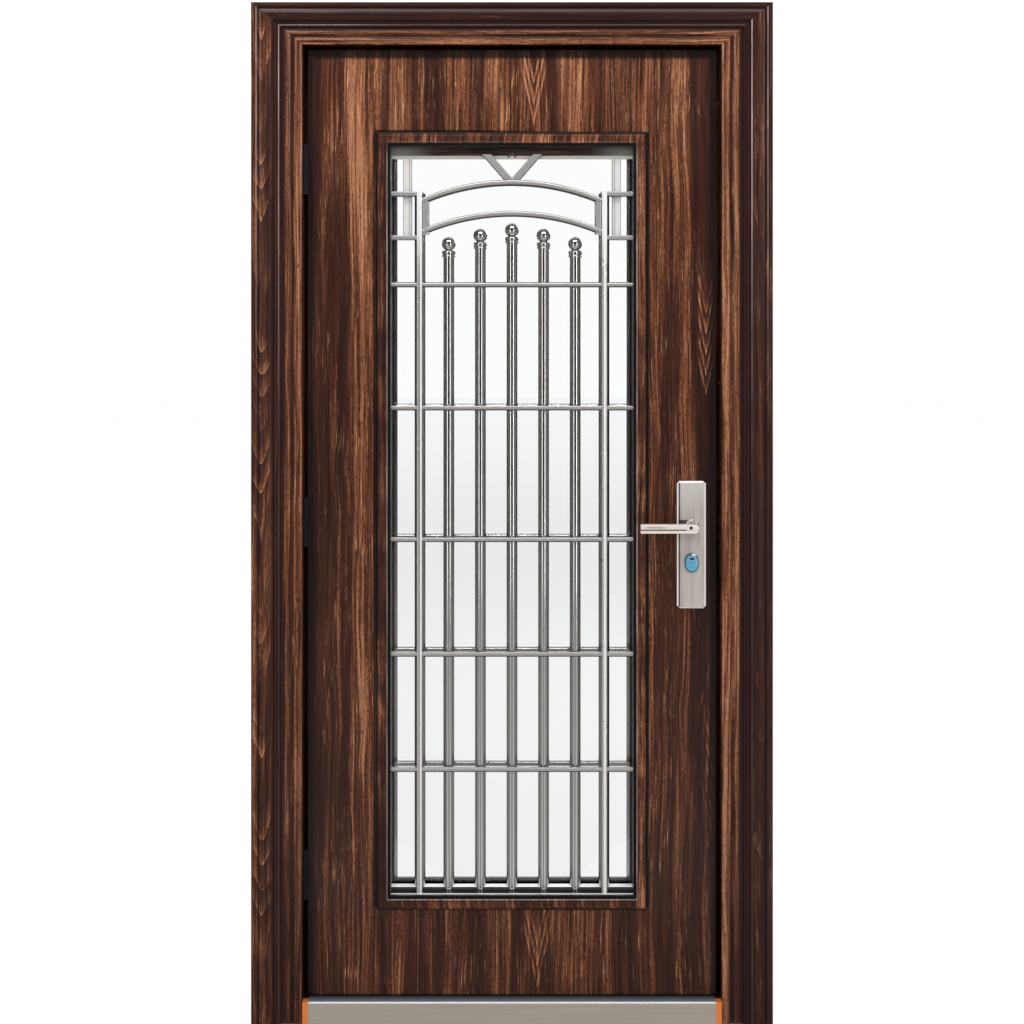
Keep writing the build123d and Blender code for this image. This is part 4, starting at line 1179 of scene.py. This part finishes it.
def make_floor():
    """A pale floor that is white to look at and keeps the door's soft shadow. Through the glass it has painted
    shade, a little less bright near the door, a painted shadow under the frame, and mirrors show it as a plain
    grey."""
    paint = new_finish("studio_floor")
    mirror = paint.mirrored()
    seen = paint.ray("Is Camera Ray", "Is Transmission Ray") * (1.0 - mirror)
    # Painted shade through the glass, a little less bright near the door
    through = paint.ray("Is Transmission Ray") * paint.y.band(12.0, 3.0, 0.0, 0.14)
    shown = paint.most(seen, mirror)
    # A painted shadow under the frame's front foot
    foot = paint.y.band(FRAME_FRONT, FRAME_FRONT + 0.001) * paint.y.band(-0.020, -0.040)
    under = abs(paint.x).band(FRAME_HALF, FRAME_HALF - 0.002) * foot
    paint.set(Base_Color=paint.mix(shown, (0.75, 0.75, 0.74, 1.0), (0.20, 0.20, 0.20, 1.0)))
    paint.set(Roughness=1.0, Specular_IOR_Level=0.0, Emission_Color=WHITE)
    paint.set(Emission_Strength=seen * (1.0 - under * 0.94) * (0.91 - through) + mirror * 0.14)
    far = 14.0
    make_flat("studio_floor", [(-far, -far, 0), (far, -far, 0), (far, far, 0), (-far, far, 0)], paint)


def make_card(name, middle, across, rise, grey):
    """A studio card that only mirrors see: a flat of even grey, to put darks in the metal."""
    middle, across, rise = (np.array(v, float) for v in (middle, across, rise))
    corners = [middle - across - rise, middle + across - rise, middle + across + rise, middle - across + rise]
    paint = new_finish(name)
    paint.set(Base_Color=BLACK, Specular_IOR_Level=0.0, Emission_Color=WHITE, Emission_Strength=grey)
    paint.show(paint.mirrored(), paint.node("BsdfTransparent"), paint.shader)
    card = make_flat(name, [tuple(c) for c in corners], paint)
    card.visible_camera = card.visible_diffuse = card.visible_shadow = False


def make_lamp(name, place, aim, wide, high, power, mirrored=True):
    """A soft box: an area lamp at place that faces aim, and shows in metal if mirrored."""
    lamp = bpy.data.lights.new(name, "AREA")
    lamp.shape = "RECTANGLE"
    lamp.size = wide
    lamp.size_y = high
    lamp.energy = power
    box = bpy.data.objects.new(name, lamp)
    box.location = place
    way = np.array(aim, float) - np.array(place, float)
    flat = math.hypot(way[0], way[1])
    box.rotation_euler = (math.atan2(flat, -way[2]), 0.0, math.atan2(-way[0], way[1]))
    box.visible_glossy = mirrored
    bpy.context.scene.collection.objects.link(box)


def make_camera():
    """The photograph's view: level, with an upward shift of the picture instead of a tilt."""
    data = bpy.data.cameras.new("photo_view")
    data.lens = CAMERA_LENS
    data.sensor_width = 36.0
    data.sensor_fit = "HORIZONTAL"
    data.shift_y = CAMERA_SHIFT_Y
    camera = bpy.data.objects.new("photo_view", data)
    camera.location = CAMERA_PLACE
    camera.rotation_euler = (math.pi / 2, 0.0, 0.0)
    bpy.context.scene.collection.objects.link(camera)
    bpy.context.scene.camera = camera


make_world()
make_floor()
make_card("card_front", (0.0, -5.6, 1.6), (3.6, 0.0, 0.0), (0.0, 0.0, 2.6), 0.05)
make_card("card_roof", (0.0, -3.1, 4.2), (3.6, 0.0, 0.0), (0.0, 2.5, 0.0), 0.10)
make_card("card_left", (-3.6, -2.9, 1.6), (0.0, 2.7, 0.0), (0.0, 0.0, 2.6), 0.16)
make_card("card_right", (3.6, -2.9, 1.6), (0.0, 2.7, 0.0), (0.0, 0.0, 2.6), 0.24)
make_card("card_floor_left", (-1.05, -1.90, 0.004), (0.18, -0.10, 0.0), (0.72, 1.28, 0.0), 0.75)
make_card("card_floor_right", (1.05, -1.90, 0.004), (0.18, 0.10, 0.0), (-0.72, 1.28, 0.0), 0.85)
make_card("card_left_back", (-3.6, 4.1, 1.6), (0.0, 4.3, 0.0), (0.0, 0.0, 2.6), 0.03)
make_card("card_right_back", (3.6, 4.1, 1.6), (0.0, 4.3, 0.0), (0.0, 0.0, 2.6), 0.07)
make_lamp("lamp_left", (-1.80, -3.2, 1.25), (0.0, 0.0, 1.1), 0.30, 2.3, 12.0)
make_lamp("lamp_right", (1.80, -3.2, 1.25), (0.0, 0.0, 1.1), 0.30, 2.3, 15.0)
make_lamp("lamp_above", (0.0, -1.6, 3.5), (0.0, 0.0, 1.2), 2.6, 0.9, 52.0)
make_lamp("lamp_fill", (0.0, -4.0, 2.9), (0.0, 0.0, 1.0), 2.4, 1.2, 90.0, mirrored=False)
make_lamp("lamp_back", (1.9, 3.0, 2.4), (0.0, 0.0, 1.0), 1.6, 1.6, 60.0, mirrored=False)
make_camera()
bpy.context.scene.view_settings.view_transform = "Standard"
